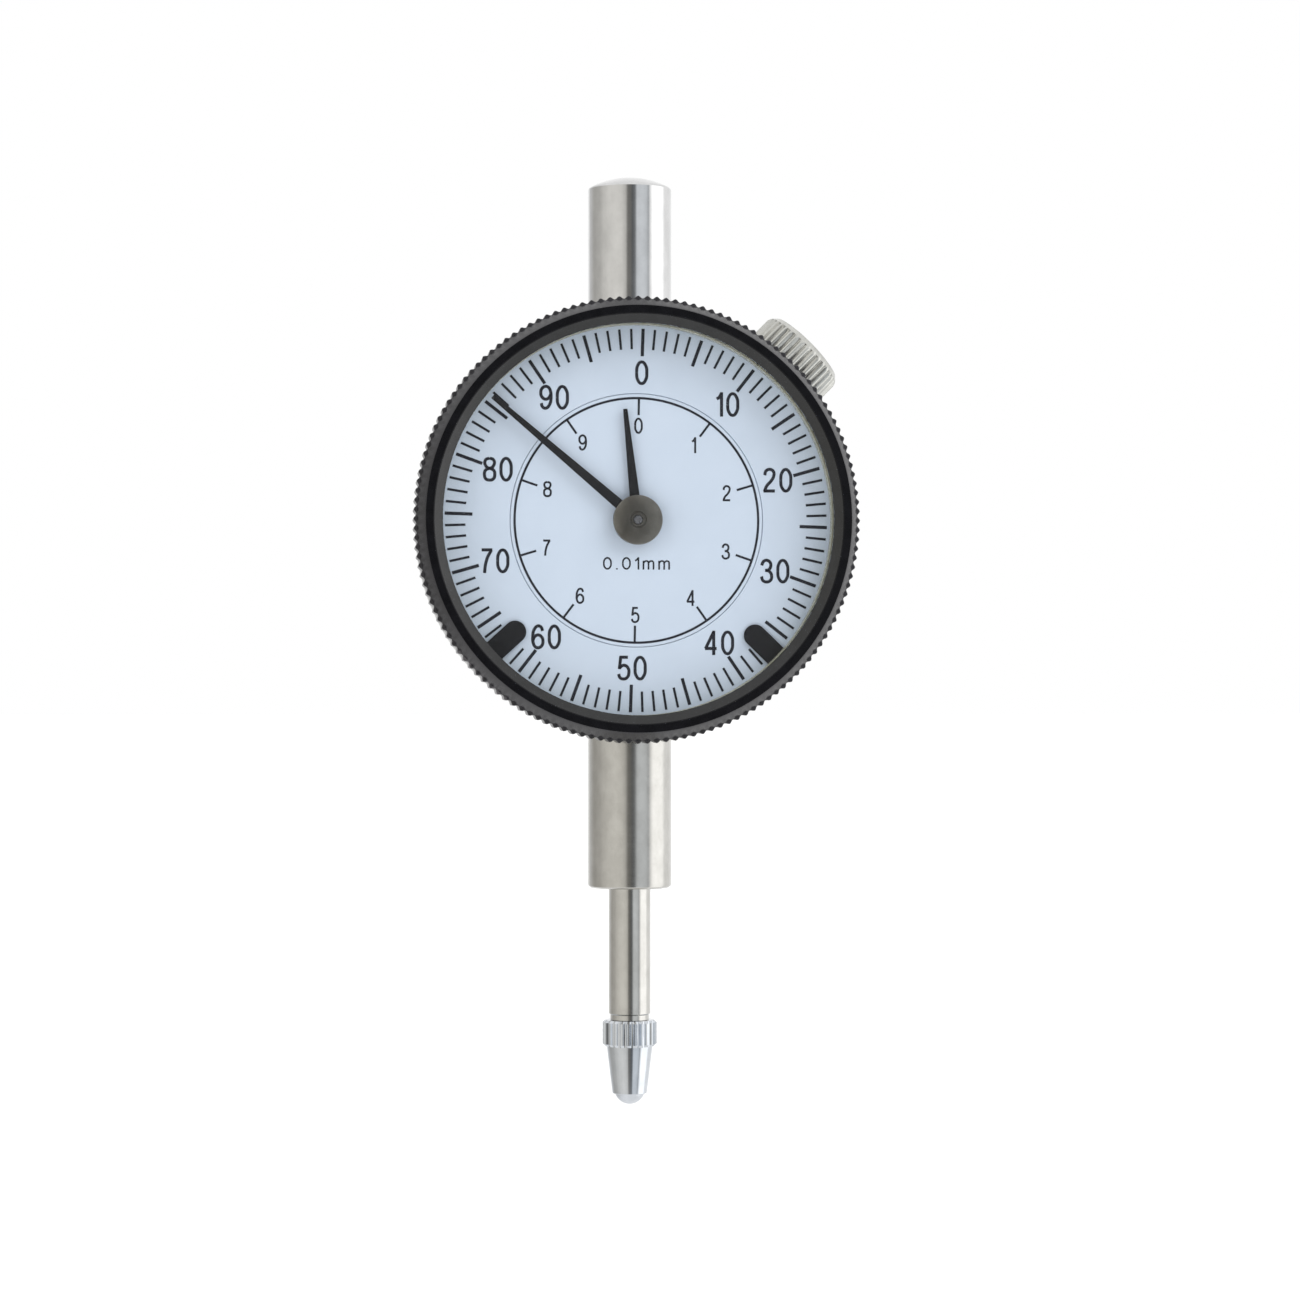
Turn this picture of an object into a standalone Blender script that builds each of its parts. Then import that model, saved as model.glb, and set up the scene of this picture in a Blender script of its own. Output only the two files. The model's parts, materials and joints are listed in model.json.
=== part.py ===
"""Dial indicator with a 42 mm bezel, an 8 mm stem and 10 mm of travel, as an assembly of its real pieces.

Lengths are in millimetres and are turned into metres when a mesh is made. The origin is on the spindle
axis, at the middle of the exposed stem, where a clamp holds the indicator. +X is right, -Y is the side
that the dial faces, +Z is up. Pieces turned about the dial axis are drawn in a front view whose z axis
points out of the dial, so their heights are depths towards the reader.
"""

import bpy
import bmesh
from math import acos, asin, cos, pi, radians, sin, sqrt, tan
from mathutils import Matrix, Vector

MM = 0.001

# Clearances
PRESS_GAP = 0.03
RUN_GAP = 0.05
BEZEL_GAP = 0.12
FACE_GAP = 0.03

# Overall sizes
DIAL_HEIGHT = 27.9
BEZEL_RADIUS = 21.0
CASE_RADIUS = 20.4
CASE_WALL = 1.6
CASE_BACK = -7.0
COVER_THICKNESS = 1.2
STEM_RADIUS = 4.0
STEM_END = -7.0
SPINDLE_RADIUS = 2.0
STOP_COLLAR_WALL = 0.42
TRAVEL = 10.5
CAP_HEIGHT = 33.3
CAP_DOME = 1.05

# Depths of the layers behind the crystal, towards the reader
WEB_BACK = 5.2
WEB_FRONT = 6.4
DIAL_BACK = 7.0
DIAL_THICKNESS = 0.4
MARKER_THICKNESS = 0.25
CRYSTAL_BACK = 9.0
CRYSTAL_THICKNESS = 1.0
LIP_FRONT = 10.35
CREST_FRONT = 10.9

# Bezel and dial radii
NECK_RADIUS = 19.0
NECK_BACK = 3.9
SKIRT_WALL = 0.5
FLANGE_BACK = 5.2
FLANGE_FRONT = 9.1
CREST_OUTER = 19.9
CREST_INNER = 19.1
WINDOW_RADIUS = 18.3
KNURL_TEETH = 148
KNURL_DEPTH = 0.35
INNER_DIAL_RADIUS = 11.9
SNAP_RING_WIDTH = 0.5
SNAP_RING_SEAT = 0.3

# Gear train
GEAR_MODULE = 0.15
MAIN_TEETH = 100
PINION_TEETH = 10
COUNTER_TEETH = 55
RACK_TEETH_PER_TURN = 16
TRAVEL_PER_TURN = 10.0
GEAR_THICKNESS = 0.3
TOOTH_SHARE = 0.42
ADDENDUM = 0.93
DEDENDUM = 1.2
WHEEL_ROOT = 1.6
PRESSURE_ANGLE = radians(20)
ARBOR_RADIUS = 0.4
PIVOT_RADIUS = 0.25
PIVOT_LENGTH = 0.7
PIPE_RADIUS = 0.8
MAIN_WHEEL_BACK = 3.9
COUNTER_WHEEL_BACK = 4.7

# Movement frame
BRIDGE_FRONT = -3.4
BRIDGE_THICKNESS = 1.0
BRIDGE_RADIUS = 15.3
PILLAR_RADIUS = 1.0
PILLAR_CIRCLE = 13.8
PILLAR_ANGLES = (30, 190, 330)
COCK_BACK = 2.5
COCK_THICKNESS = 0.6
COCK_LEG_REACH = 5.8
COCK_LEG_RADIUS = 0.9

# Hands
MAIN_HAND_LENGTH = 17.8
MAIN_HAND_ANGLE = 49.8
COUNTER_HAND_LENGTH = 10.5
COUNTER_HAND_ANGLE = 6.2
HAND_THICKNESS = 0.15
COUNTER_HAND_BACK = 7.8
MAIN_HAND_BACK = 8.15
HUB_CAP_RADIUS = 2.33
HUB_CAP_THICKNESS = 0.45

# Contact point
COLLAR_RADIUS = 2.6
COLLAR_HEIGHT = 2.5
COLLAR_TEETH = 24
COLLAR_TOP = -19.7
CONE_TOP_RADIUS = 2.2
CONE_END_RADIUS = 1.62
CONE_END = -26.75
BALL_RADIUS = 1.5
BALL_REACH = 1.05

# Bezel clamp
CLAMP_ANGLE = 45
KNOB_RADIUS = 4.5
KNOB_NEAR = 20.65
KNOB_FAR = 24.2
KNOB_CROWN = 0.4
KNOB_TEETH = 36
KNOB_SHANK_RADIUS = 1.0
SHOE_HALF_WIDTH = 2.1
SHOE_BACK = -2.4

# Lug
LUG_THICKNESS = 5.0
LUG_HALF_WIDTH = 6.0
LUG_HOLE_RADIUS = 3.25
LUG_REACH = 6.8

# Worked out from the sizes above
GEAR_CENTRES = GEAR_MODULE * (MAIN_TEETH + PINION_TEETH) / 2
RACK_PITCH = TRAVEL_PER_TURN / RACK_TEETH_PER_TURN
RACK_MODULE = RACK_PITCH / pi
RACK_FLAT = 0.8 * SPINDLE_RADIUS
RACK_LINE = RACK_FLAT - RACK_MODULE
RACK_ARBOR_X = -(RACK_LINE + TRAVEL_PER_TURN / (2 * pi))
RACK_ARBOR_Z = sqrt(GEAR_CENTRES ** 2 - RACK_ARBOR_X ** 2)
CENTRE_LINE = acos(RACK_ARBOR_X / GEAR_CENTRES)
CASE_INNER = CASE_RADIUS - CASE_WALL
DIAL_FRONT = DIAL_BACK + DIAL_THICKNESS
BRIDGE_BACK = BRIDGE_FRONT - BRIDGE_THICKNESS
BEZEL_BORE = NECK_RADIUS + BEZEL_GAP
SKIRT_RADIUS = BEZEL_BORE + SKIRT_WALL
COVER_BACK = CASE_BACK - COVER_THICKNESS
STEM_SEAT = DIAL_HEIGHT - 19.4
STEM_TOP = STEM_SEAT + 2.8
CAP_SEAT = DIAL_HEIGHT + 19.6
CAP_TOP = DIAL_HEIGHT + CAP_HEIGHT
SPINDLE_TOP = CAP_TOP - 1.0 - TRAVEL
BUSH_WALL = 0.9
PIN_REST = DIAL_HEIGHT - 5.5
COVER_SCREW_CIRCLE = CASE_RADIUS - 3.1
COVER_COLUMN_RADIUS = 1.8
COVER_SCREW_ANGLES = (22, 158, 202, 338)

# Sides of the round pieces: large, medium, small
SIDES = 37
ROUND = 24
SMALL = 10


# ---------------------------------------------------------------- mesh tools

def ring(radius, height, count=SIDES, start=0.0):
    """Points of a circle at one height."""
    steps = (start + 2 * pi * i / count for i in range(count))
    return [(radius * cos(a), radius * sin(a), height) for a in steps]


def at_height(outline, height):
    """A flat outline moved to one height."""
    return [(x, y, height) for x, y in outline]


def knurl_ring(radius, depth, teeth, height):
    """A circle with one tip and one root for each tooth."""
    points = []
    for i in range(2 * teeth):
        r = radius - depth * (i % 2)
        a = pi * i / teeth
        points.append((r * cos(a), r * sin(a), height))
    return points


def bridge_rings(mesh, low, high):
    """Faces between two rings, where one may have a whole number of times more points than the other."""
    if len(low) == 1 or len(high) == 1:
        pole, loop = (low[0], high) if len(low) == 1 else (high[0], low)
        for i, vert in enumerate(loop):
            mesh.faces.new((pole, vert, loop[(i + 1) % len(loop)]))
        return
    few, many = (low, high) if len(low) <= len(high) else (high, low)
    share = len(many) // len(few)
    for i, vert in enumerate(few):
        across = [many[(i * share + k) % len(many)] for k in range(share + 1)]
        mesh.faces.new([few[(i + 1) % len(few)], vert] + across)


def place(name, mesh, look, parent=None, location=(0, 0, 0), rotation=(0, 0, 0)):
    """Turns a finished bmesh in millimetres into a named object with its material."""
    bmesh.ops.recalc_face_normals(mesh, faces=mesh.faces)
    bmesh.ops.scale(mesh, vec=(MM, MM, MM), verts=mesh.verts)
    data = bpy.data.meshes.new(name)
    mesh.to_mesh(data)
    mesh.free()
    data.shade_smooth()
    data.set_sharp_from_angle(angle=radians(35))
    if look:
        data.materials.append(look)
    piece = bpy.data.objects.new(name, data)
    piece.location = Vector(location) * MM
    piece.rotation_euler = rotation
    piece.parent = parent
    bpy.context.collection.objects.link(piece)
    return piece


def stack(name, rings, look=None, closed=True, **placing):
    """A solid through a list of rings; a closed list is a tube, an open one ends in two poles."""
    mesh = bmesh.new()
    loops = [[mesh.verts.new(p) for p in points] for points in rings]
    pairs = zip(loops, loops[1:] + loops[:1]) if closed else zip(loops, loops[1:])
    for low, high in pairs:
        bridge_rings(mesh, low, high)
    return place(name, mesh, look, **placing)


def turned(name, profile, look=None, sides=SIDES, **placing):
    """A turned piece from (radius, height) points; a zero radius is a pole."""
    rings = [[(0, 0, h)] if r == 0 else ring(r, h, sides) for r, h in profile]
    closed = profile[0][0] != 0
    return stack(name, rings, look, closed, **placing)


def rod(name, radius, low, high, look=None, sides=ROUND, **placing):
    """A plain round bar."""
    return turned(name, [(0, low), (radius, low), (radius, high), (0, high)], look, sides, **placing)


def tube(name, inner, outer, low, high, look=None, sides=ROUND, **placing):
    """A plain ring or bush."""
    profile = [(inner, low), (outer, low), (outer, high), (inner, high)]
    return turned(name, profile, look, sides, **placing)


def prism(name, outline, low, high, look=None, **placing):
    """A flat outline given a thickness."""
    mesh = bmesh.new()
    bottom = [mesh.verts.new(p) for p in at_height(outline, low)]
    top = [mesh.verts.new(p) for p in at_height(outline, high)]
    mesh.faces.new(bottom)
    mesh.faces.new(top)
    bridge_rings(mesh, bottom, top)
    return place(name, mesh, look, **placing)


def block(name, low, high, look=None, **placing):
    """A box between two corners."""
    outline = [(low[0], low[1]), (high[0], low[1]), (high[0], high[1]), (low[0], high[1])]
    return prism(name, outline, low[2], high[2], look, **placing)


def rods(name, places, radius, low, high, sides=SMALL, **placing):
    """Several round bars in one mesh, for cutting a pattern of holes."""
    mesh = bmesh.new()
    for x, y in places:
        loops = []
        for h in (low, high):
            loops.append([mesh.verts.new((x + px, y + py, h)) for px, py, _ in ring(radius, 0, sides)])
            mesh.faces.new(loops[-1])
        bridge_rings(mesh, *loops)
    return place(name, mesh, None, **placing)


def c_ring(name, inner, outer, low, high, gap, look, sides=ROUND, **placing):
    """A flat ring with a gap, such as a snap ring; the gap is in degrees."""
    mesh = bmesh.new()
    sections = []
    for i in range(sides + 1):
        a = radians(gap / 2 + (360 - gap) * i / sides)
        corners = ((inner, low), (outer, low), (outer, high), (inner, high))
        sections.append([mesh.verts.new((r * cos(a), r * sin(a), h)) for r, h in corners])
    for near, far in zip(sections, sections[1:]):
        bridge_rings(mesh, near, far)
    mesh.faces.new(sections[0])
    mesh.faces.new(sections[-1])
    return place(name, mesh, look, **placing)


def hide(cutter):
    """Marks a shape that only cuts or joins others."""
    cutter.hide_render = True
    cutter.display_type = 'WIRE'


def combine(piece, operation, tools):
    """Cuts shapes out of a piece, or joins them to it."""
    for tool in tools:
        hide(tool)
        boolean = piece.modifiers.new(tool.name, 'BOOLEAN')
        boolean.operation = operation
        boolean.solver = 'EXACT'
        boolean.object = tool
    return piece


def cut(piece, *tools):
    return combine(piece, 'DIFFERENCE', tools)


def join(piece, *tools):
    return combine(piece, 'UNION', tools)


def finish(name, colour, roughness, metallic, alpha=1.0):
    """A material with one colour, roughness and metallic value."""
    material = bpy.data.materials.new(name)
    material.use_nodes = True
    shader = material.node_tree.nodes['Principled BSDF']
    shader.inputs['Base Color'].default_value = (*colour, 1.0)
    shader.inputs['Roughness'].default_value = roughness
    shader.inputs['Metallic'].default_value = metallic
    shader.inputs['Alpha'].default_value = alpha
    material.diffuse_color = (*colour, alpha)
    return material


def axis_empty(name, location, rotation=(0, 0, 0)):
    empty = bpy.data.objects.new(name, None)
    empty.location = Vector(location) * MM
    empty.rotation_euler = rotation
    empty.empty_display_size = 5 * MM
    bpy.context.collection.objects.link(empty)
    return empty


FACING = (pi / 2, 0, 0)


def dial_axis(name, x=0.0, z=0.0):
    """An axis that points out of the dial, at a place given from the dial's centre."""
    return axis_empty(name, (x, 0, DIAL_HEIGHT + z), FACING)


# ---------------------------------------------------------------- gears

def gear_outline(teeth, module, first_tooth, pinion):
    """Tooth outline: a wheel has pointed roots, a pinion has flat ones between radial flanks."""
    pitch_radius = teeth * module / 2
    tip_radius = pitch_radius + ADDENDUM * module
    half = TOOTH_SHARE * pi * module / 2
    tip_half = (half - ADDENDUM * module * tan(PRESSURE_ANGLE)) / tip_radius
    flank = [(-tip_half, tip_radius), (tip_half, tip_radius)]
    if pinion:
        root_radius = pitch_radius - DEDENDUM * module
        root_half = half / pitch_radius
        flank = [(-root_half, root_radius), *flank, (root_half, root_radius)]
    else:
        flank.append((pi / teeth, pitch_radius - WHEEL_ROOT * module))
    points = []
    for i in range(teeth):
        a = first_tooth + 2 * pi * i / teeth
        points += [(r * cos(a + turn), r * sin(a + turn)) for turn, r in flank]
    return points


def gear(name, teeth, module, first_tooth, bore, low, thickness, bore_sides, look, parent, pinion=False):
    """A toothed disc with a round bore, whose sides are a whole share of the outline's points."""
    outline = gear_outline(teeth, module, first_tooth, pinion)
    start = first_tooth - pi / teeth
    rings = [ring(bore, low, bore_sides, start), at_height(outline, low),
             at_height(outline, low + thickness), ring(bore, low + thickness, bore_sides, start)]
    return stack(name, rings, look, parent=parent)


def meshing_tooth(line, driver_tooth, driver_teeth, driven_teeth):
    """Angle of a tooth on the driven gear, so that it runs in the driver's gaps across the line of centres."""
    driver_step = 2 * pi / driver_teeth
    driven_step = 2 * pi / driven_teeth
    share = ((line - driver_tooth) / driver_step) % 1.0
    return line + pi + (share + 0.5) * driven_step


# ---------------------------------------------------------------- case

def make_case(look, dial):
    """The cup with its front web, the neck that the bezel turns on, and the inner bosses."""
    groove = NECK_RADIUS - SNAP_RING_SEAT
    groove_back = FLANGE_BACK + 0.2
    groove_front = groove_back + SNAP_RING_WIDTH + 2 * RUN_GAP
    bore = PIPE_RADIUS + RUN_GAP
    profile = [(bore, DIAL_BACK - FACE_GAP), (INNER_DIAL_RADIUS - 0.3, DIAL_BACK - FACE_GAP),
               (INNER_DIAL_RADIUS - 0.3, WEB_FRONT), (NECK_RADIUS, WEB_FRONT),
               (NECK_RADIUS, groove_front), (groove, groove_front),
               (groove, groove_back), (NECK_RADIUS, groove_back),
               (NECK_RADIUS, NECK_BACK), (CASE_RADIUS, NECK_BACK),
               (CASE_RADIUS, CASE_BACK), (CASE_INNER, CASE_BACK),
               (CASE_INNER, NECK_BACK - CASE_WALL / 2), (NECK_RADIUS - CASE_WALL, NECK_BACK - CASE_WALL / 2),
               (NECK_RADIUS - CASE_WALL, WEB_BACK), (bore, WEB_BACK)]
    case = turned('case_body', profile, look, parent=dial)
    outer = CASE_RADIUS - CASE_WALL / 2
    clamp_boss = rod('clamp_boss', KNOB_SHANK_RADIUS + 1.4, CASE_RADIUS - 4.9, outer, parent=CLAMP_AXIS)
    angles = [radians(a) for a in COVER_SCREW_ANGLES]
    columns = [(COVER_SCREW_CIRCLE * cos(a), COVER_SCREW_CIRCLE * sin(a)) for a in angles]
    screw_columns = rods('screw_columns', columns, COVER_COLUMN_RADIUS, CASE_BACK + COVER_THICKNESS, -1.0, parent=dial)
    join(case, *bosses('stem_boss', -1, DIAL_HEIGHT - STEM_TOP, dial),
         *bosses('cap_boss', 1, CAP_SEAT - DIAL_HEIGHT - 2.8, dial), clamp_boss, screw_columns)

    stem_bore = rod('stem_bore', STEM_RADIUS - 0.5 + PRESS_GAP, STEM_SEAT - 5, STEM_TOP + 1)
    stem_seat = rod('stem_seat', STEM_RADIUS + PRESS_GAP, STEM_SEAT - 5, STEM_SEAT + FACE_GAP)
    bush_bore = rod('bush_bore', SPINDLE_RADIUS + BUSH_WALL + PRESS_GAP, CAP_SEAT - 4, CAP_SEAT + 4)
    cap_seat = rod('cap_seat', STEM_RADIUS + PRESS_GAP, CAP_SEAT - FACE_GAP, CAP_SEAT + 5)
    cut(case, stem_bore, stem_seat, bush_bore, cap_seat)

    holes = [rods('cover_screw_holes', columns, 0.75, CASE_BACK - 1, -3.0, parent=dial)]
    pivots = [(RACK_ARBOR_X, RACK_ARBOR_Z), (-RACK_ARBOR_X, -RACK_ARBOR_Z)]
    holes.append(rods('pivot_holes', pivots, PIVOT_RADIUS + PRESS_GAP, WEB_BACK - 1,
                      WEB_BACK + PIVOT_LENGTH + PRESS_GAP, parent=dial))
    holes.append(rods('tenon_holes', pillar_places(), 0.6 + PRESS_GAP, WEB_BACK - 1, WEB_BACK + 0.9,
                      parent=dial))
    holes.append(rods('leg_screw_holes', cock_leg_places(), 0.4 + PRESS_GAP, WEB_BACK - 1,
                      WEB_BACK + 0.9, parent=dial))
    holes.append(rods('spring_post_hole', [SPRING_POST], 0.5 + PRESS_GAP, WEB_BACK - 1,
                      WEB_BACK + 0.9, parent=dial))
    pocket = block('clamp_pocket', (-SHOE_HALF_WIDTH - 0.2, -NECK_BACK - 1, SKIRT_RADIUS + FACE_GAP),
                   (SHOE_HALF_WIDTH + 0.2, -SHOE_BACK + 0.2, CASE_RADIUS + 2), parent=CLAMP_AXIS)
    thread = rod('clamp_thread', KNOB_SHANK_RADIUS + PRESS_GAP, CASE_RADIUS - 6, CASE_RADIUS + 2,
                 parent=CLAMP_AXIS)
    cut(case, *holes, pocket, thread)
    return case


def bosses(name, side, reach, dial):
    """Metal round a bore in the case wall: one block inside the wall, one inside the thinner neck."""
    half = STEM_RADIUS + BUSH_WALL
    blocks = []
    for part, outer, front in (('wall', CASE_RADIUS - CASE_WALL / 2, NECK_BACK - 0.3),
                               ('neck', NECK_RADIUS - CASE_WALL / 2, half)):
        low, high = sorted((side * reach, side * outer))
        blocks.append(block(f'{name}_{part}', (-half, low, -half), (half, high, front), parent=dial))
    return blocks


def pillar_places():
    angles = [radians(a) for a in PILLAR_ANGLES]
    return [(PILLAR_CIRCLE * cos(a), PILLAR_CIRCLE * sin(a)) for a in angles]


def cock_leg_places():
    """Both legs stand square to the line of the wheel centres, clear of every wheel."""
    a = CENTRE_LINE - pi / 2
    x, y = COCK_LEG_REACH * cos(a), COCK_LEG_REACH * sin(a)
    return [(x, y), (-x, -y)]


def make_stem(look, bronze, fibre):
    bush_outer = SPINDLE_RADIUS + BUSH_WALL
    bush_seat = bush_outer + PRESS_GAP
    bush_top = STEM_END + 6.0
    chamfer = 0.25
    profile = [(bush_seat, STEM_END), (STEM_RADIUS - chamfer, STEM_END), (STEM_RADIUS, STEM_END + chamfer),
               (STEM_RADIUS, STEM_SEAT), (STEM_RADIUS - 0.5, STEM_SEAT), (STEM_RADIUS - 0.5, STEM_TOP),
               (SPINDLE_RADIUS + 0.4, STEM_TOP), (SPINDLE_RADIUS + 0.4, bush_top), (bush_seat, bush_top)]
    turned('stem', profile, look, ROUND)
    bore = SPINDLE_RADIUS + RUN_GAP
    tube('stem_bush', bore, bush_outer, STEM_END + 0.2, bush_top - FACE_GAP, bronze)
    tube('upper_bush', bore, bush_outer, CAP_SEAT - 2.8, CAP_SEAT - 0.1, bronze)
    washer_low = STEM_TOP + FACE_GAP
    tube('stop_washer', SPINDLE_RADIUS + 0.15, STEM_RADIUS - 0.7, washer_low, washer_low + 0.5, fibre)


def make_cap(look):
    dome_base = CAP_TOP - CAP_DOME
    inner = STEM_RADIUS - 1.4
    dome_radius = (STEM_RADIUS ** 2 + CAP_DOME ** 2) / (2 * CAP_DOME)
    profile = [(0, CAP_TOP - 0.8), (inner, CAP_TOP - 0.8), (inner, CAP_SEAT), (STEM_RADIUS, CAP_SEAT)]
    opening = asin(STEM_RADIUS / dome_radius)
    for i in range(4):
        a = opening * (1 - i / 4)
        profile.append((dome_radius * sin(a), dome_base + dome_radius * (cos(a) - cos(opening))))
    profile.append((0, CAP_TOP))
    turned('spindle_cap', profile, look, ROUND)


def make_back(look, steel, dial):
    """Back cover with its lug, and the four screws that hold it."""
    spigot = CASE_INNER - RUN_GAP
    spigot_front = CASE_BACK + 0.7
    profile = [(0, COVER_BACK), (CASE_RADIUS - 0.4, COVER_BACK), (CASE_RADIUS, COVER_BACK + 0.4),
               (CASE_RADIUS, CASE_BACK - FACE_GAP), (spigot, CASE_BACK - FACE_GAP), (spigot, spigot_front),
               (spigot - 0.8, spigot_front), (spigot - 0.8, CASE_BACK - FACE_GAP), (0, CASE_BACK - FACE_GAP)]
    cover = turned('back_cover', profile, look, parent=dial)
    outline = [(COVER_BACK + 0.5, -LUG_HALF_WIDTH)]
    for i in range(13):
        a = -pi / 2 + pi * i / 12
        outline.append((COVER_BACK - LUG_REACH - LUG_HALF_WIDTH * cos(a), LUG_HALF_WIDTH * sin(a)))
    outline.append((COVER_BACK + 0.5, LUG_HALF_WIDTH))
    lug_axis = axis_empty('lug_axis', (0, 0, DIAL_HEIGHT), (0, pi / 2, 0))
    upright = [(-height, -depth) for depth, height in outline]
    lug = prism('lug', upright, -LUG_THICKNESS / 2, LUG_THICKNESS / 2, parent=lug_axis)
    hole = rods('lug_hole', [(0, LUG_REACH - COVER_BACK)], LUG_HOLE_RADIUS, -LUG_THICKNESS, LUG_THICKNESS,
                ROUND, parent=lug_axis)
    angles = [radians(a) for a in COVER_SCREW_ANGLES]
    places = [(COVER_SCREW_CIRCLE * cos(a), COVER_SCREW_CIRCLE * sin(a)) for a in angles]
    join(cover, lug)
    cut(cover, hole, rods('cover_shank_holes', places, 0.8, COVER_BACK - 1, CASE_BACK + 1, parent=dial),
        rods('cover_head_seats', places, 1.4, COVER_BACK - 1, COVER_BACK + 0.6, parent=dial),
        rods('cover_column_room', places, COVER_COLUMN_RADIUS + 0.2, CASE_BACK - FACE_GAP, CASE_BACK + 2, parent=dial))
    for i, (x, y) in enumerate(places, 1):
        screw(f'back_screw_{i}', x, y, COVER_BACK + 0.05, 1.3, 0.5, 0.7, 4.0, steel, dial)


def screw(name, x, y, head_back, head_radius, head, shank_radius, shank, look, dial):
    """A slotted cheese-head screw driven in from the back."""
    low = head_back
    profile = [(0, low), (head_radius, low), (head_radius, low + head), (shank_radius, low + head),
               (shank_radius, low + head + shank), (0, low + head + shank)]
    piece = turned(name, profile, look, SMALL, parent=dial, location=(x, y, 0))
    slot = block(name + '_slot', (-2, -0.15, low - 1), (2, 0.15, low + head / 2), parent=dial,
                 location=(x, y, 0))
    return cut(piece, slot)


# ---------------------------------------------------------------- movement

def make_frame(brass, steel, dial):
    """Bridge plate with its pillars, the centre cock, and the rails that keep the spindle from turning."""
    bridge = turned('movement_bridge', [(0, BRIDGE_BACK), (BRIDGE_RADIUS, BRIDGE_BACK),
                                        (BRIDGE_RADIUS, BRIDGE_FRONT), (0, BRIDGE_FRONT)], brass, parent=dial)
    pivots = [(RACK_ARBOR_X, RACK_ARBOR_Z), (-RACK_ARBOR_X, -RACK_ARBOR_Z)]
    stud_angle = HAIRSPRING_END
    stud = (-RACK_ARBOR_X + HAIRSPRING_STUD * cos(stud_angle), -RACK_ARBOR_Z + HAIRSPRING_STUD * sin(stud_angle))
    channel_screws = [(CHANNEL_FOOT_X, z) for z in CHANNEL_SCREWS]
    low, high = BRIDGE_BACK - 1, BRIDGE_FRONT + 1
    cut(bridge, rods('bridge_pivot_holes', pivots, PIVOT_RADIUS + PRESS_GAP, low, high, parent=dial),
        rods('bridge_screw_holes', pillar_places() + channel_screws, 0.5 + PRESS_GAP, low, high, parent=dial),
        rods('bridge_stud_hole', [stud], 0.35 + PRESS_GAP, low, high, parent=dial))

    for i, (x, y) in enumerate(pillar_places(), 1):
        profile = [(0.6, WEB_BACK + 0.8), (PILLAR_RADIUS - 0.4, WEB_BACK - FACE_GAP),
                   (PILLAR_RADIUS, WEB_BACK - FACE_GAP), (PILLAR_RADIUS, BRIDGE_FRONT + FACE_GAP),
                   (0.5 + PRESS_GAP, BRIDGE_FRONT + FACE_GAP), (0.5 + PRESS_GAP, BRIDGE_FRONT + 2.2)]
        rings = [[(0, 0, WEB_BACK + 0.8)]] + [ring(r, h, SMALL) for r, h in profile]
        rings.append([(0, 0, BRIDGE_FRONT + 2.2)])
        stack(f'bridge_pillar_{i}', rings, brass, False, parent=dial, location=(x, y, 0))
        screw(f'bridge_screw_{i}', x, y, BRIDGE_BACK - 0.6, 0.95, 0.57, 0.5, 2.8, steel, dial)

    stack('spring_post', [[(0, 0, -1.2)], ring(0.5, -1.2, SMALL), ring(0.5, WEB_BACK + 0.8, SMALL),
                          [(0, 0, WEB_BACK + 0.8)]], steel, False, parent=dial, location=(*SPRING_POST, 0))
    rod('hairspring_stud', 0.35, BRIDGE_BACK + 0.1, HAIRSPRING_HEIGHT + 0.4, brass, SMALL, parent=dial,
        location=(*stud, 0))

    legs = cock_leg_places()
    turn = CENTRE_LINE - pi / 2
    length, width = COCK_LEG_REACH + 1.2, 1.1
    bar = [(-length, -width), (length, -width), (length, width), (-length, width)]
    bar = [(x * cos(turn) - y * sin(turn), x * sin(turn) + y * cos(turn)) for x, y in bar]
    cock = prism('centre_cock', bar, COCK_BACK, COCK_BACK + COCK_THICKNESS, brass, parent=dial)
    leg_rods = rods('cock_legs', legs, COCK_LEG_RADIUS, COCK_BACK + 0.2, WEB_BACK - FACE_GAP, parent=dial)
    join(cock, leg_rods)
    cut(cock, rods('cock_pivot_hole', [(0, 0)], PIVOT_RADIUS + PRESS_GAP, COCK_BACK - 1, COCK_BACK + 2,
                   parent=dial),
        rods('cock_screw_holes', legs, 0.4 + PRESS_GAP, COCK_BACK - 1, WEB_BACK + 1, parent=dial))
    for i, (x, y) in enumerate(legs, 1):
        shank = WEB_BACK + 0.7 - COCK_BACK
        screw(f'cock_screw_{i}', x, y, COCK_BACK - 0.6, 0.8, 0.57, 0.4, shank, steel, dial)


# Guide channel and return spring, placed from the dial centre
CHANNEL_NEAR = SPINDLE_RADIUS + 0.7
CHANNEL_FAR = CHANNEL_NEAR + 0.9
CHANNEL_LOW = -6.9
CHANNEL_HIGH = 6.5
CHANNEL_FOOT_X = CHANNEL_NEAR + 1.6
CHANNEL_SCREWS = (2.8, 5.3)
GUIDE_PIN_RADIUS = 0.4
GUIDE_PIN_END = 5.9
SPRING_POST = (6.3, -15.5)
SPRING_COIL_RADIUS = 0.75
SPRING_WIRE_RADIUS = 0.12
SPRING_TURNS = 8
SPRING_STEPS = 8
HAIRSPRING_TURNS = 4
HAIRSPRING_STEPS = 14
HAIRSPRING_OUTER = 3.9
HAIRSPRING_HEIGHT = -(SPINDLE_RADIUS + STOP_COLLAR_WALL + 0.43)
HAIRSPRING_WIDTH = 0.3
HAIRSPRING_STRIP = 0.06
HAIRSPRING_STUD = HAIRSPRING_OUTER + 0.45
HAIRSPRING_END = radians(300)


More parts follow.
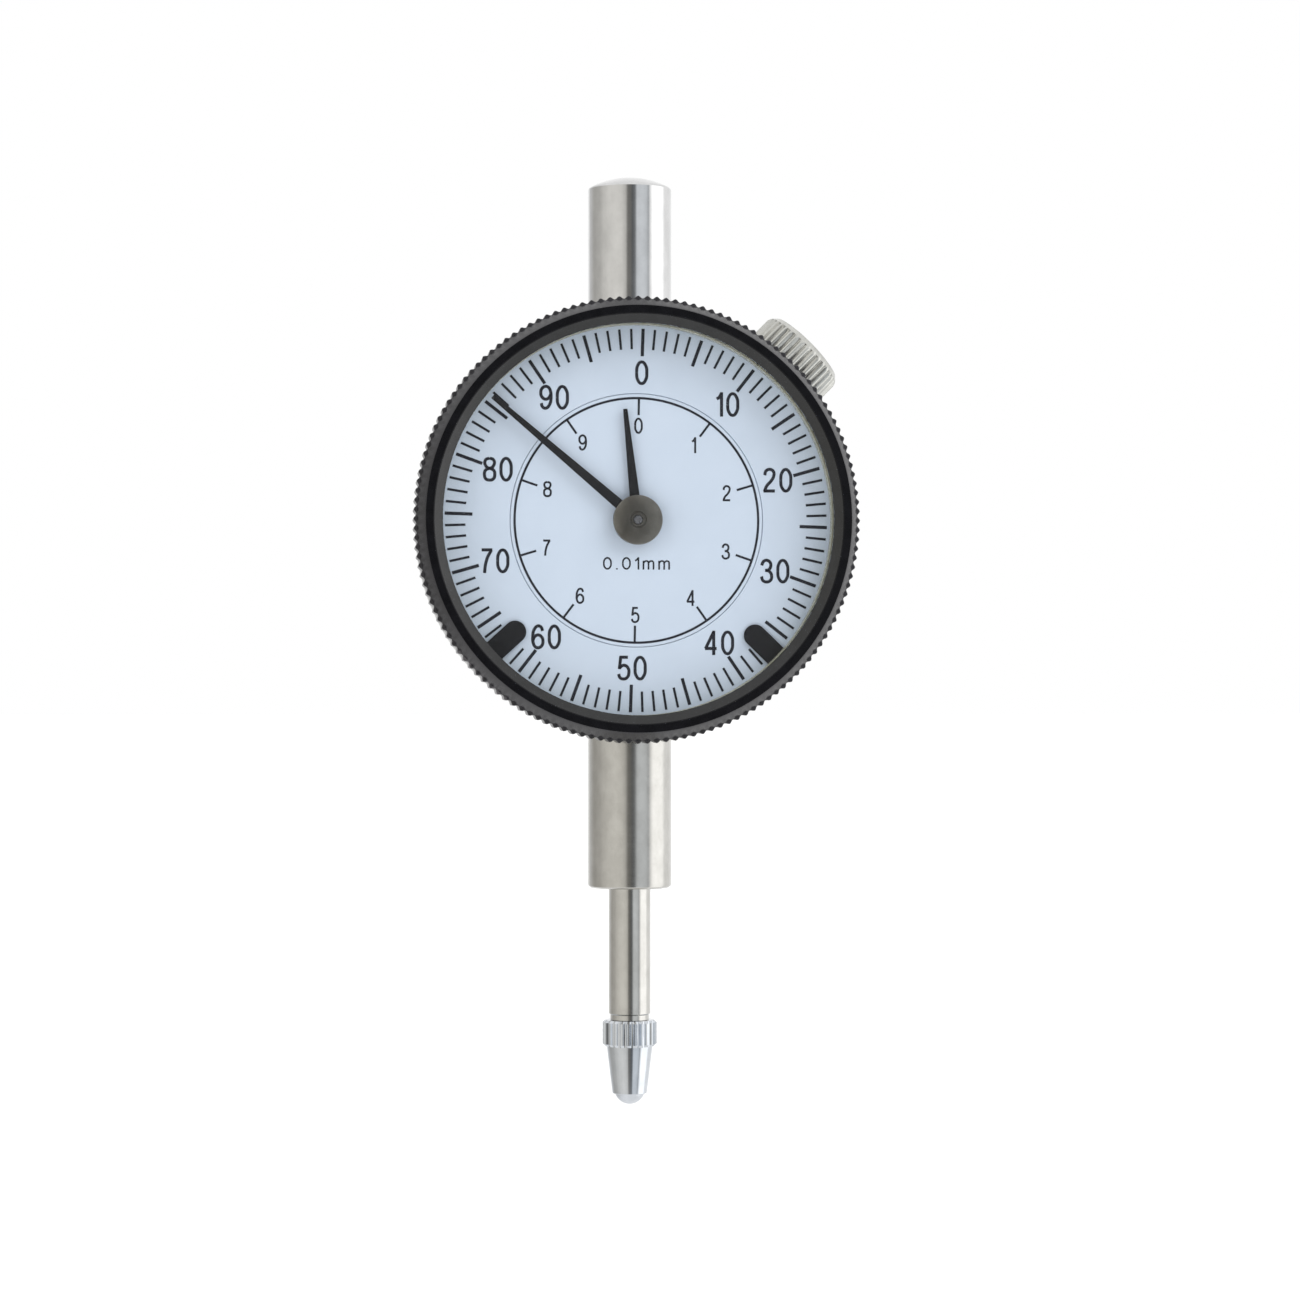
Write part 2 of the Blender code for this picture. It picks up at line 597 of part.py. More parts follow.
def make_guide_channel(brass, steel, dial):
    slot_half = GUIDE_PIN_RADIUS + RUN_GAP
    wall = 1.3
    channel = block('guide_channel', (CHANNEL_NEAR, CHANNEL_LOW, -wall), (CHANNEL_FAR, CHANNEL_HIGH, wall),
                    brass, parent=dial)
    foot = block('channel_foot', (CHANNEL_NEAR, CHANNEL_SCREWS[0] - 1.3, BRIDGE_FRONT + FACE_GAP),
                 (CHANNEL_FOOT_X + 1.3, CHANNEL_HIGH, -wall + 0.2), parent=dial)
    pin_low = PIN_REST - DIAL_HEIGHT
    slot = block('channel_slot', (CHANNEL_NEAR - 1, pin_low - slot_half - 0.1, -slot_half),
                 (CHANNEL_FAR + 1, pin_low + TRAVEL + slot_half + 0.1, slot_half), parent=dial)
    holes = rods('channel_screw_holes', [(CHANNEL_FOOT_X, z) for z in CHANNEL_SCREWS], 0.5 + PRESS_GAP,
                 BRIDGE_FRONT - 1, -wall - 0.4, parent=dial)
    cut(join(channel, foot), slot, holes)
    for i, z in enumerate(CHANNEL_SCREWS, 1):
        screw(f'channel_screw_{i}', CHANNEL_FOOT_X, z, BRIDGE_BACK - 0.6, 0.95, 0.57, 0.5, 2.2, steel, dial)


def make_return_spring(look):
    """Extension spring from the post to the guide pin, with a half hook at each end."""
    hook = GUIDE_PIN_RADIUS + SPRING_WIRE_RADIUS + 0.05
    post_hook = 0.5 + SPRING_WIRE_RADIUS + 0.05
    low = Vector((SPRING_POST[0], 0, DIAL_HEIGHT + SPRING_POST[1]))
    high = Vector((GUIDE_PIN_END - 0.7, 0, PIN_REST))
    points = []
    for i in range(5):
        a = radians(-180 + 180 * i / 4)
        points.append(low + Vector((post_hook * cos(a), 0, post_hook * sin(a))))
    along = (high - low).normalized()
    side = Vector((0, 1, 0))
    across = side.cross(along)
    coil_low = low + along * 1.6
    coil_high = high - along * 1.6
    steps = SPRING_STEPS * SPRING_TURNS
    for i in range(steps + 1):
        a = 2 * pi * i / SPRING_STEPS
        middle = coil_low.lerp(coil_high, i / steps)
        points.append(middle + SPRING_COIL_RADIUS * (cos(a) * across + sin(a) * side))
    for i in range(5):
        a = radians(-180 * i / 4)
        points.append(high + Vector((0, hook * cos(a), -hook * sin(a))))
    curve = bpy.data.curves.new('return_spring', 'CURVE')
    curve.dimensions = '3D'
    curve.bevel_depth = SPRING_WIRE_RADIUS * MM
    curve.bevel_resolution = 0
    curve.use_fill_caps = True
    line = curve.splines.new('POLY')
    line.points.add(len(points) - 1)
    for knot, point in zip(line.points, points):
        knot.co = (*(point * MM), 1.0)
    curve.materials.append(look)
    spring = bpy.data.objects.new('return_spring', curve)
    bpy.context.collection.objects.link(spring)


def make_hairspring(look, axis):
    """A flat spiral strip from the collet to the stud."""
    mesh = bmesh.new()
    steps = HAIRSPRING_STEPS * HAIRSPRING_TURNS
    inner = ARBOR_RADIUS + 0.45
    sections = []
    for i in range(steps + 1):
        a = HAIRSPRING_END - 2 * pi * (steps - i) / HAIRSPRING_STEPS
        middle = inner + (HAIRSPRING_OUTER - inner) * i / steps
        corners = [(middle + s * HAIRSPRING_STRIP / 2, HAIRSPRING_HEIGHT + t * HAIRSPRING_WIDTH)
                   for s, t in ((-1, 0), (1, 0), (1, 1), (-1, 1))]
        sections.append([mesh.verts.new((r * cos(a), r * sin(a), h)) for r, h in corners])
    for near, far in zip(sections, sections[1:]):
        bridge_rings(mesh, near, far)
    mesh.faces.new(sections[0])
    mesh.faces.new(sections[-1])
    place('hairspring', mesh, look, parent=axis)


def arbor(name, radius, low, high, look, parent, pivot_low=PIVOT_LENGTH, pivot_high=PIVOT_LENGTH):
    """A staff between two thinner pivots."""
    profile = [(0, low - pivot_low), (PIVOT_RADIUS, low - pivot_low), (PIVOT_RADIUS, low), (radius, low),
               (radius, high), (PIVOT_RADIUS, high), (PIVOT_RADIUS, high + pivot_high), (0, high + pivot_high)]
    return turned(name, profile, look, SMALL, parent=parent)


def make_train(brass, steel, axes):
    """Rack arbor, centre arbor, counter pipe and take-up arbor with their wheels."""
    bore = ARBOR_RADIUS + PRESS_GAP
    staff_low, staff_high = BRIDGE_FRONT + FACE_GAP, WEB_BACK - FACE_GAP
    rack_axis, centre, counter, take_up = axes
    arbor('rack_arbor', ARBOR_RADIUS, staff_low, staff_high, steel, rack_axis)
    gear('rack_pinion', RACK_TEETH_PER_TURN, RACK_MODULE, 0.0, bore, -1.3, 2.6, 16, steel, rack_axis, True)
    line = CENTRE_LINE + pi
    main_tooth = line
    gear('main_wheel', MAIN_TEETH, GEAR_MODULE, main_tooth, bore, MAIN_WHEEL_BACK, GEAR_THICKNESS, 20,
         brass, rack_axis)
    gear('counter_drive_wheel', COUNTER_TEETH, GEAR_MODULE, line, bore, COUNTER_WHEEL_BACK,
         GEAR_THICKNESS, 15, brass, rack_axis)

    centre_low = COCK_BACK + COCK_THICKNESS + FACE_GAP
    hub_front = MAIN_HAND_BACK + HAND_THICKNESS + HUB_CAP_THICKNESS
    profile = [(0, COCK_BACK), (PIVOT_RADIUS, COCK_BACK), (PIVOT_RADIUS, centre_low),
               (ARBOR_RADIUS, centre_low), (ARBOR_RADIUS, hub_front + 0.05), (0, hub_front + 0.05)]
    turned('centre_arbor', profile, steel, SMALL, parent=centre)
    pinion_tooth = meshing_tooth(line, main_tooth, MAIN_TEETH, PINION_TEETH)
    gear('centre_pinion', PINION_TEETH, GEAR_MODULE, pinion_tooth, bore, MAIN_WHEEL_BACK - 0.4,
         GEAR_THICKNESS + 0.7, 10, steel, centre, True)

    pipe_low, pipe_high = COUNTER_WHEEL_BACK - FACE_GAP, COUNTER_HAND_BACK + HAND_THICKNESS
    tube('counter_pipe', ARBOR_RADIUS + RUN_GAP, PIPE_RADIUS - 0.05, pipe_low, pipe_high, brass, 15,
         parent=counter)
    counter_tooth = meshing_tooth(line, line, COUNTER_TEETH, COUNTER_TEETH)
    gear('counter_wheel', COUNTER_TEETH, GEAR_MODULE, counter_tooth, PIPE_RADIUS - 0.02, COUNTER_WHEEL_BACK,
         GEAR_THICKNESS, 15, brass, counter)

    arbor('takeup_arbor', ARBOR_RADIUS, staff_low, staff_high, steel, take_up)
    take_tooth = meshing_tooth(line, pinion_tooth, PINION_TEETH, MAIN_TEETH)
    gear('takeup_wheel', MAIN_TEETH, GEAR_MODULE, take_tooth, bore, MAIN_WHEEL_BACK, GEAR_THICKNESS, 20,
         brass, take_up)
    tube('hairspring_collet', bore, ARBOR_RADIUS + 0.38, HAIRSPRING_HEIGHT - 0.1,
         HAIRSPRING_HEIGHT + HAIRSPRING_WIDTH + 0.1, brass, SMALL, parent=take_up)


def make_hand(name, length, angle, hub_radius, bore, root_width, tip_width, low, look, axis):
    """A flat hand: a round hub and a tapered blade, drawn as one ring of points round the bore."""
    root = asin(root_width / 2 / hub_radius)
    tip = asin(tip_width / 2 / length)
    heading = pi / 2 + radians(angle)
    outline = [(hub_radius, root), (length, tip), (length, -tip), (hub_radius, -root)]
    arc = 16
    for i in range(1, arc):
        outline.append((hub_radius, -root - (2 * pi - 2 * root) * i / arc))
    outer = [(r * cos(heading + a), r * sin(heading + a)) for r, a in outline]
    inner = [(bore * cos(heading + a), bore * sin(heading + a)) for _, a in outline]
    rings = [at_height(inner, low), at_height(outer, low), at_height(outer, low + HAND_THICKNESS),
             at_height(inner, low + HAND_THICKNESS)]
    stack(name, rings, look, parent=axis)


def make_hands(black, steel, centre, counter):
    make_hand('main_hand', MAIN_HAND_LENGTH, MAIN_HAND_ANGLE, 1.3, ARBOR_RADIUS + PRESS_GAP, 1.0, 0.43,
              MAIN_HAND_BACK, black, centre)
    make_hand('counter_hand', COUNTER_HAND_LENGTH, COUNTER_HAND_ANGLE, 1.5, PIPE_RADIUS - 0.02, 1.0, 0.4,
              COUNTER_HAND_BACK, black, counter)
    low = MAIN_HAND_BACK + HAND_THICKNESS + FACE_GAP
    high = low + HUB_CAP_THICKNESS - FACE_GAP
    bore = ARBOR_RADIUS + PRESS_GAP
    turned('hand_hub_cap', [(bore, low), (HUB_CAP_RADIUS, low), (HUB_CAP_RADIUS, high - 0.1),
                            (HUB_CAP_RADIUS - 0.1, high), (bore, high)], steel, ROUND, parent=centre)


# ---------------------------------------------------------------- plunger

def make_spindle(look, steel, chrome, ball_look, bronze):
    neck = SPINDLE_RADIUS - 0.13
    stud_room = 1.25
    chamfer = 0.3
    profile = [(0, COLLAR_TOP + 4.3), (stud_room, COLLAR_TOP + 4.3), (stud_room, COLLAR_TOP + FACE_GAP),
               (neck, COLLAR_TOP + FACE_GAP), (neck, COLLAR_TOP + 0.5), (SPINDLE_RADIUS, COLLAR_TOP + 0.6),
               (SPINDLE_RADIUS, SPINDLE_TOP - chamfer), (SPINDLE_RADIUS - chamfer, SPINDLE_TOP),
               (0, SPINDLE_TOP)]
    spindle = turned('spindle', profile, look, ROUND)
    pin_hole = rod('pin_hole', GUIDE_PIN_RADIUS + PRESS_GAP, 0.9, 4, sides=SMALL,
                   location=(0, 0, PIN_REST), rotation=(0, pi / 2, 0))
    cut(spindle, rack_comb(), pin_hole)

    pin = [(0, 1.0), (GUIDE_PIN_RADIUS, 1.0), (GUIDE_PIN_RADIUS, GUIDE_PIN_END - 0.3),
           (GUIDE_PIN_RADIUS + 0.2, GUIDE_PIN_END - 0.3), (GUIDE_PIN_RADIUS + 0.2, GUIDE_PIN_END),
           (0, GUIDE_PIN_END)]
    turned('guide_pin', pin, steel, SMALL, location=(0, 0, PIN_REST), rotation=(0, pi / 2, 0))
    collar_low = STEM_TOP + 0.5 + 2 * FACE_GAP
    tube('stop_collar', SPINDLE_RADIUS + PRESS_GAP, SPINDLE_RADIUS + STOP_COLLAR_WALL, collar_low, collar_low + 1.4,
         bronze)
    make_contact_point(chrome, ball_look)


def rack_comb():
    """The shape of the metal removed from the spindle's left side, one gap for each tooth."""
    gap_half = RACK_PITCH * (1 - TOOTH_SHARE) / 2
    slope = tan(PRESSURE_ANGLE)
    tip, root = ADDENDUM * RACK_MODULE, DEDENDUM * RACK_MODULE
    line_height = DIAL_HEIGHT + RACK_ARBOR_Z
    reach_down = int((TRAVEL + 2.0) / RACK_PITCH) + 1
    outer = SPINDLE_RADIUS + 1
    crest, base = RACK_LINE + tip, RACK_LINE - root
    outline = [(outer, line_height - (reach_down + 0.5) * RACK_PITCH)]
    outline.append((crest, line_height - (reach_down + 0.5) * RACK_PITCH))
    for i in range(-reach_down, 3):
        z = line_height + i * RACK_PITCH
        outline.append((crest, z - gap_half - tip * slope))
        outline.append((base, z - gap_half + root * slope))
        outline.append((base, z + gap_half - root * slope))
        outline.append((crest, z + gap_half + tip * slope))
    outline.append((crest, line_height + 2.5 * RACK_PITCH))
    outline.append((outer, line_height + 2.5 * RACK_PITCH))
    flat = [(-x, z) for x, z in outline]
    return prism('rack_comb', flat, -SPINDLE_RADIUS - 1, SPINDLE_RADIUS + 1, rotation=FACING)


def make_contact_point(look, ball_look):
    """Screwed-in point: threaded stud, knurled collar, cone, and the ball in its socket."""
    collar_low = COLLAR_TOP - COLLAR_HEIGHT
    ball_centre = CONE_END - BALL_REACH + BALL_RADIUS
    rings = [[(0, 0, COLLAR_TOP + 4.0)], ring(1.2, COLLAR_TOP + 4.0, ROUND), ring(1.2, COLLAR_TOP, ROUND),
             ring(COLLAR_RADIUS - 0.2, COLLAR_TOP, ROUND),
             knurl_ring(COLLAR_RADIUS, 0.15, COLLAR_TEETH, COLLAR_TOP - 0.2),
             knurl_ring(COLLAR_RADIUS, 0.15, COLLAR_TEETH, collar_low + 0.2),
             ring(COLLAR_RADIUS - 0.2, collar_low, ROUND), ring(CONE_TOP_RADIUS, collar_low, ROUND),
             ring(CONE_END_RADIUS, CONE_END, ROUND)]
    steps = 4
    socket = (BALL_RADIUS + FACE_GAP) / cos(pi / 2 / steps / 1.5)
    start = acos((ball_centre - CONE_END) / socket)
    for i in range(steps):
        a = start + (pi - start) * i / steps
        rings.append(ring(socket * sin(a), ball_centre - socket * cos(a), ROUND))
    rings.append([(0, 0, ball_centre + socket)])
    stack('contact_point', rings, look, False)
    ball = [(0, ball_centre - BALL_RADIUS)]
    for i in range(1, 8):
        a = pi * i / 8
        ball.append((BALL_RADIUS * sin(a), ball_centre - BALL_RADIUS * cos(a)))
    ball.append((0, ball_centre + BALL_RADIUS))
    turned('contact_ball', ball, ball_look, 16)


# ---------------------------------------------------------------- bezel group

def make_bezel(black, clear, ivory, steel, white, axis):
    groove = NECK_RADIUS + SNAP_RING_SEAT + BEZEL_GAP
    groove_back = FLANGE_BACK + 0.2
    groove_front = groove_back + SNAP_RING_WIDTH + 2 * RUN_GAP
    root = BEZEL_RADIUS - KNURL_DEPTH
    crystal_seat = CRYSTAL_BACK + CRYSTAL_THICKNESS + RUN_GAP
    rings = [ring(root - 0.1, FLANGE_BACK),
             knurl_ring(BEZEL_RADIUS, KNURL_DEPTH, KNURL_TEETH, FLANGE_BACK),
             knurl_ring(BEZEL_RADIUS, KNURL_DEPTH, KNURL_TEETH, FLANGE_FRONT),
             ring(root - 0.1, FLANGE_FRONT)]
    profile = [(CREST_OUTER, CREST_FRONT), (CREST_INNER, CREST_FRONT), (WINDOW_RADIUS, LIP_FRONT),
               (WINDOW_RADIUS, crystal_seat), (BEZEL_BORE, crystal_seat), (BEZEL_BORE, groove_front),
               (groove, groove_front), (groove, groove_back), (BEZEL_BORE, groove_back),
               (BEZEL_BORE, NECK_BACK + 0.1), (SKIRT_RADIUS, NECK_BACK + 0.1), (SKIRT_RADIUS, FLANGE_BACK)]
    rings += [ring(r, h) for r, h in profile]
    stack('bezel', rings, black, parent=axis)
    seated = BEZEL_BORE - PRESS_GAP
    rod('crystal', seated, CRYSTAL_BACK, CRYSTAL_BACK + CRYSTAL_THICKNESS, clear, SIDES, parent=axis)
    groove_floor = DIAL_FRONT + MARKER_THICKNESS + 2 * RUN_GAP
    tube('crystal_ring', WINDOW_RADIUS, seated, groove_floor, CRYSTAL_BACK - FACE_GAP, ivory, SIDES,
         parent=axis)
    tube('dial_ring', INNER_DIAL_RADIUS + 0.1, seated, DIAL_BACK, DIAL_FRONT, white, SIDES, parent=axis)
    clip_back = DIAL_BACK - 0.3
    c_ring('dial_ring_clip', WINDOW_RADIUS, BEZEL_BORE - BEZEL_GAP, clip_back, DIAL_BACK - FACE_GAP, 16, steel, parent=axis)
    snap_back = groove_back + RUN_GAP
    c_ring('bezel_snap_ring', NECK_RADIUS - SNAP_RING_SEAT + BEZEL_GAP + RUN_GAP, NECK_RADIUS + SNAP_RING_SEAT,
           snap_back, snap_back + SNAP_RING_WIDTH, 24, steel, SIDES, parent=axis)


def make_limit_marker(name, clock_angle, look, axis):
    """A flat tab with a round inner end, held by its outer end under the crystal ring."""
    half, tip, outer = 1.05, 14.5, BEZEL_BORE - BEZEL_GAP
    outline = [(half, sqrt(outer ** 2 - half ** 2)), (-half, sqrt(outer ** 2 - half ** 2))]
    for i in range(9):
        a = pi + pi * i / 8
        outline.append((half * cos(a), tip + half + half * sin(a)))
    turn = radians(-clock_angle)
    outline = [(x * cos(turn) - y * sin(turn), x * sin(turn) + y * cos(turn)) for x, y in outline]
    low = DIAL_FRONT + RUN_GAP
    prism(name, outline, low, low + MARKER_THICKNESS, look, parent=axis)


# ---------------------------------------------------------------- bezel clamp

def make_clamp(nickel, steel):
    low, high = SKIRT_RADIUS + 2 * FACE_GAP, KNOB_NEAR - FACE_GAP
    front = -FLANGE_BACK + 0.1
    shoe = block('clamp_shoe', (-SHOE_HALF_WIDTH, front, low), (SHOE_HALF_WIDTH, -SHOE_BACK, high), steel,
                 parent=CLAMP_AXIS)
    cut(shoe, rod('shoe_hole', KNOB_SHANK_RADIUS + RUN_GAP, low - 1, high + 1, parent=CLAMP_AXIS))
    root = KNOB_RADIUS - 0.25
    shank_end = CASE_RADIUS - 4.2
    shank = KNOB_TEETH // 3
    rings = [[(0, 0, shank_end)], ring(KNOB_SHANK_RADIUS, shank_end, shank),
             ring(KNOB_SHANK_RADIUS, KNOB_NEAR, shank), ring(root - 0.1, KNOB_NEAR, KNOB_TEETH),
             knurl_ring(KNOB_RADIUS, 0.25, KNOB_TEETH, KNOB_NEAR + 0.25),
             knurl_ring(KNOB_RADIUS, 0.25, KNOB_TEETH, KNOB_FAR - 0.35),
             ring(root - 0.35, KNOB_FAR, KNOB_TEETH), ring(2.2, KNOB_FAR + 0.7 * KNOB_CROWN, KNOB_TEETH),
             [(0, 0, KNOB_FAR + KNOB_CROWN)]]
    stack('clamp_knob', rings, nickel, False, parent=CLAMP_AXIS)


# ---------------------------------------------------------------- assembly

for old in list(bpy.data.objects):
    bpy.data.objects.remove(old, do_unlink=True)

black_anodised = finish('black_anodised', (0.02, 0.02, 0.022), 0.35, 0.6)
clear = finish('clear_crystal', (0.9, 0.95, 0.97), 0.05, 0.0, 0.25)
ivory_plastic = finish('ivory_plastic', (0.72, 0.7, 0.62), 0.5, 0.0)
white_print = finish('dial_white', (0.72, 0.78, 0.84), 0.6, 0.0)
hand_black = finish('hand_black', (0.015, 0.015, 0.015), 0.4, 0.0)
ground_steel = finish('ground_steel', (0.62, 0.6, 0.57), 0.3, 1.0)
chrome = finish('chrome', (0.8, 0.81, 0.83), 0.12, 1.0)
nickel = finish('dull_nickel', (0.6, 0.58, 0.53), 0.38, 1.0)
satin_case = finish('satin_case', (0.66, 0.66, 0.66), 0.42, 1.0)
brass = finish('brass', (0.78, 0.6, 0.28), 0.35, 1.0)
bronze = finish('bronze', (0.6, 0.42, 0.24), 0.4, 1.0)
tool_steel = finish('tool_steel', (0.5, 0.5, 0.52), 0.3, 1.0)
spring_steel = finish('spring_steel', (0.4, 0.42, 0.5), 0.25, 1.0)
red_fibre = finish('red_fibre', (0.35, 0.08, 0.05), 0.7, 0.0)

CLAMP_AXIS = axis_empty('clamp_axis', (0, 0, DIAL_HEIGHT), (0, radians(CLAMP_ANGLE), 0))
case_axis = dial_axis('case_axis')
bezel_axis = dial_axis('bezel_axis')
centre_axis = dial_axis('centre_axis')
counter_axis = dial_axis('counter_axis')
rack_axis = dial_axis('rack_axis', RACK_ARBOR_X, RACK_ARBOR_Z)
takeup_axis = dial_axis('takeup_axis', -RACK_ARBOR_X, -RACK_ARBOR_Z)

make_case(satin_case, case_axis)
make_stem(ground_steel, bronze, red_fibre)
make_cap(chrome)
make_back(satin_case, tool_steel, case_axis)
make_frame(brass, tool_steel, case_axis)
make_guide_channel(brass, tool_steel, case_axis)
make_return_spring(spring_steel)
make_hairspring(spring_steel, takeup_axis)
tube('inner_dial', PIPE_RADIUS + 0.4, INNER_DIAL_RADIUS, DIAL_BACK, DIAL_FRONT, white_print, SIDES,
     parent=case_axis)
make_train(brass, tool_steel, (rack_axis, centre_axis, counter_axis, takeup_axis))
make_hands(hand_black, ground_steel, centre_axis, counter_axis)
make_spindle(ground_steel, tool_steel, chrome, chrome, bronze)
make_bezel(black_anodised, clear, ivory_plastic, spring_steel, white_print, bezel_axis)
make_limit_marker('limit_marker_right', 134.1, hand_black, bezel_axis)
make_limit_marker('limit_marker_left', 227.5, hand_black, bezel_axis)
make_clamp(nickel, tool_steel)
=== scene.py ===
"""The looks of the dial indicator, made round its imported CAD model. Lengths are in millimetres until a
finished piece is put in its place, where they become metres."""

import json
from math import acos, asin, atan2, cos, pi, radians, sin, sqrt

import bmesh
import bpy
from mathutils import Matrix, Vector


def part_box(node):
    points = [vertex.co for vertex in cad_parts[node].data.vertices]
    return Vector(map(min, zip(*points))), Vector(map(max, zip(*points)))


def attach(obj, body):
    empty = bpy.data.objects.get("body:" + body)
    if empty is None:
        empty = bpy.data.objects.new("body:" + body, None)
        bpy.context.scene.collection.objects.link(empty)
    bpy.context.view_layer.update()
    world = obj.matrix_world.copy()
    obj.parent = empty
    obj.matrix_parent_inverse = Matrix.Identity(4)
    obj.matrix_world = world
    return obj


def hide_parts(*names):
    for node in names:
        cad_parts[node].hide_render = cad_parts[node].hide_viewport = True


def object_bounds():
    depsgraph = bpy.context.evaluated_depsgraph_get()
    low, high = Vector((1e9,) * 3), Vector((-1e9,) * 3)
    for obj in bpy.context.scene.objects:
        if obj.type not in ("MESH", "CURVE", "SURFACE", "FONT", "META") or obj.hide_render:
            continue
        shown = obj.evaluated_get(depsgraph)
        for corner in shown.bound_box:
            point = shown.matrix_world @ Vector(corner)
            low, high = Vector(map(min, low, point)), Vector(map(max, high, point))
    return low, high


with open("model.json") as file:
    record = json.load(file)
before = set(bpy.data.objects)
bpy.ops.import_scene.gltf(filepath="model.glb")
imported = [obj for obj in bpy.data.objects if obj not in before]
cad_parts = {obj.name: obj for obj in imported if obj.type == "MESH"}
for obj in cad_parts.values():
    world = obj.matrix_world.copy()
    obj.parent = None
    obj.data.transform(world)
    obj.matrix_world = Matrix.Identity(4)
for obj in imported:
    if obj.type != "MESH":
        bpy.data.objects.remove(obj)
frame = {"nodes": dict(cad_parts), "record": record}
cad_low, cad_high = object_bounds()

MM = 0.001


# ---------------------------------------------------------------- sizes read from the frame

def size_of(node):
    low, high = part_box(node)
    return Vector(low) / MM, Vector(high) / MM


BEZEL_LOW, BEZEL_HIGH = size_of('bezel')
DIAL_Z = (BEZEL_LOW.z + BEZEL_HIGH.z) / 2
BEZEL_R = (BEZEL_HIGH.z - BEZEL_LOW.z) / 2
CREST = -BEZEL_LOW.y
SKIRT_END = -BEZEL_HIGH.y + 0.06
CASE_R = 20.4
CASE_BACK = -size_of('case_body')[1].y
COVER_BACK = CASE_BACK - 1.2
NECK_R = 19.0
SKIRT_BORE = NECK_R + 0.12
SKIRT_WALL = 0.5
SCREW_ANGLES = (22, 158, 202, 338)
SCREW_CIRCLE = 17.3
STEM_LOW, STEM_HIGH = size_of('stem')
STEM_R = STEM_HIGH.x
CAP_LOW, CAP_HIGH = size_of('spindle_cap')
SPINDLE_LOW, SPINDLE_HIGH = size_of('spindle')
SPINDLE_R = SPINDLE_HIGH.x
POINT_LOW, POINT_HIGH = size_of('contact_point')
BALL_LOW, BALL_HIGH = size_of('contact_ball')
DIAL_LOW, DIAL_HIGH = size_of('dial_ring')
DIAL_FRONT, DIAL_BACK = -DIAL_LOW.y, -DIAL_HIGH.y
INNER_R = size_of('inner_dial')[1].x
CRYSTAL_LOW, CRYSTAL_HIGH = size_of('crystal')
WINDOW_R = 18.3
CREST_OUTER, CREST_INNER = 19.9, 19.1
FLANGE_FRONT, FLANGE_BACK = 9.1, 5.2
PRINT = 0.012

TEETH = 148
TOOTH_STEPS = 6
TOOTH_DEPTH = 0.27

HUB_LOW, HUB_HIGH = size_of('hand_hub_cap')
MARKER_LOW, MARKER_HIGH = size_of('limit_marker_right')
HAND_THICK = 0.15
MAIN_HAND_ANGLE = 49.8
COUNTER_HAND_ANGLE = 6.2
ZERO_ANGLE = -1.9
INNER_ZERO_ANGLE = -1.0

FACING = Matrix.Translation((0, 0, DIAL_Z)) @ Matrix.Rotation(pi / 2, 4, 'X')
UPRIGHT = Matrix.Identity(4)
CLAMP = Matrix.Translation((0, 0, DIAL_Z)) @ Matrix.Rotation(pi / 4, 4, 'Y')


# ---------------------------------------------------------------- modelling tools

def deselect():
    if bpy.context.mode != 'OBJECT':
        bpy.ops.object.mode_set(mode='OBJECT')
    bpy.ops.object.select_all(action='DESELECT')


def start_edit():
    bpy.ops.object.mode_set(mode='EDIT')
    bpy.ops.mesh.select_mode(type='VERT')
    return bpy.context.edit_object


def pick(test, mode='VERT'):
    """Selects the vertices, edges or faces of the edited mesh that pass a test."""
    bpy.ops.mesh.select_all(action='DESELECT')
    bpy.ops.mesh.select_mode(type=mode)
    mesh = bmesh.from_edit_mesh(bpy.context.edit_object.data)
    things = {'VERT': mesh.verts, 'EDGE': mesh.edges, 'FACE': mesh.faces}[mode]
    for thing in things:
        thing.select = test(thing)
    mesh.select_flush(True)
    bmesh.update_edit_mesh(bpy.context.edit_object.data)


def grow(height, low, scale):
    """Extrudes the selected loop to a height and scales it about the turning axis."""
    bpy.ops.mesh.extrude_region_move(TRANSFORM_OT_translate={'value': (0, 0, height - low)})
    if scale != 1:
        bpy.ops.transform.resize(value=(scale, scale, 1), center_override=(0, 0, height))


def turn(name, profile, sides=128):
    """Turned piece: a circle grown along the z axis through (radius, height) steps.

    A first or last radius of zero closes the end in a pole; otherwise the last step meets the first."""
    deselect()
    steps = [p for p in profile if p[0] > 0]
    radius, low = steps[0]
    bpy.ops.mesh.primitive_circle_add(vertices=sides, radius=radius, location=(0, 0, low))
    piece = bpy.context.active_object
    piece.name = name
    bpy.ops.object.transform_apply()
    start_edit()
    bpy.ops.mesh.select_all(action='SELECT')
    closed = len(steps) == len(profile)
    if not closed and profile[0][0] == 0:
        bpy.ops.mesh.extrude_region_move(TRANSFORM_OT_translate={'value': (0, 0, profile[0][1] - low)})
        bpy.ops.mesh.merge(type='CENTER')
        pick(lambda v: abs(v.co.xy.length - radius) < 1e-4 and abs(v.co.z - low) < 1e-5)
    if closed:
        steps = steps + [steps[0]]
    for r, h in steps[1:]:
        grow(h, low, r / radius)
        radius, low = r, h
    if not closed:
        bpy.ops.mesh.extrude_region_move(TRANSFORM_OT_translate={'value': (0, 0, profile[-1][1] - low)})
        bpy.ops.mesh.merge(type='CENTER')
    tidy_mesh()
    bpy.ops.object.mode_set(mode='OBJECT')
    return piece


def tidy_mesh():
    bpy.ops.mesh.select_all(action='SELECT')
    bpy.ops.mesh.remove_doubles(threshold=0.0005)
    bpy.ops.mesh.normals_make_consistent(inside=False)


def soften(piece, width, angle=35, segments=2):
    """Rounds the sharp edges of a piece."""
    bevel = piece.modifiers.new('soft_edges', 'BEVEL')
    bevel.width = width
    bevel.segments = segments
    bevel.limit_method = 'ANGLE'
    bevel.angle_limit = radians(angle)
    apply_modifiers(piece)


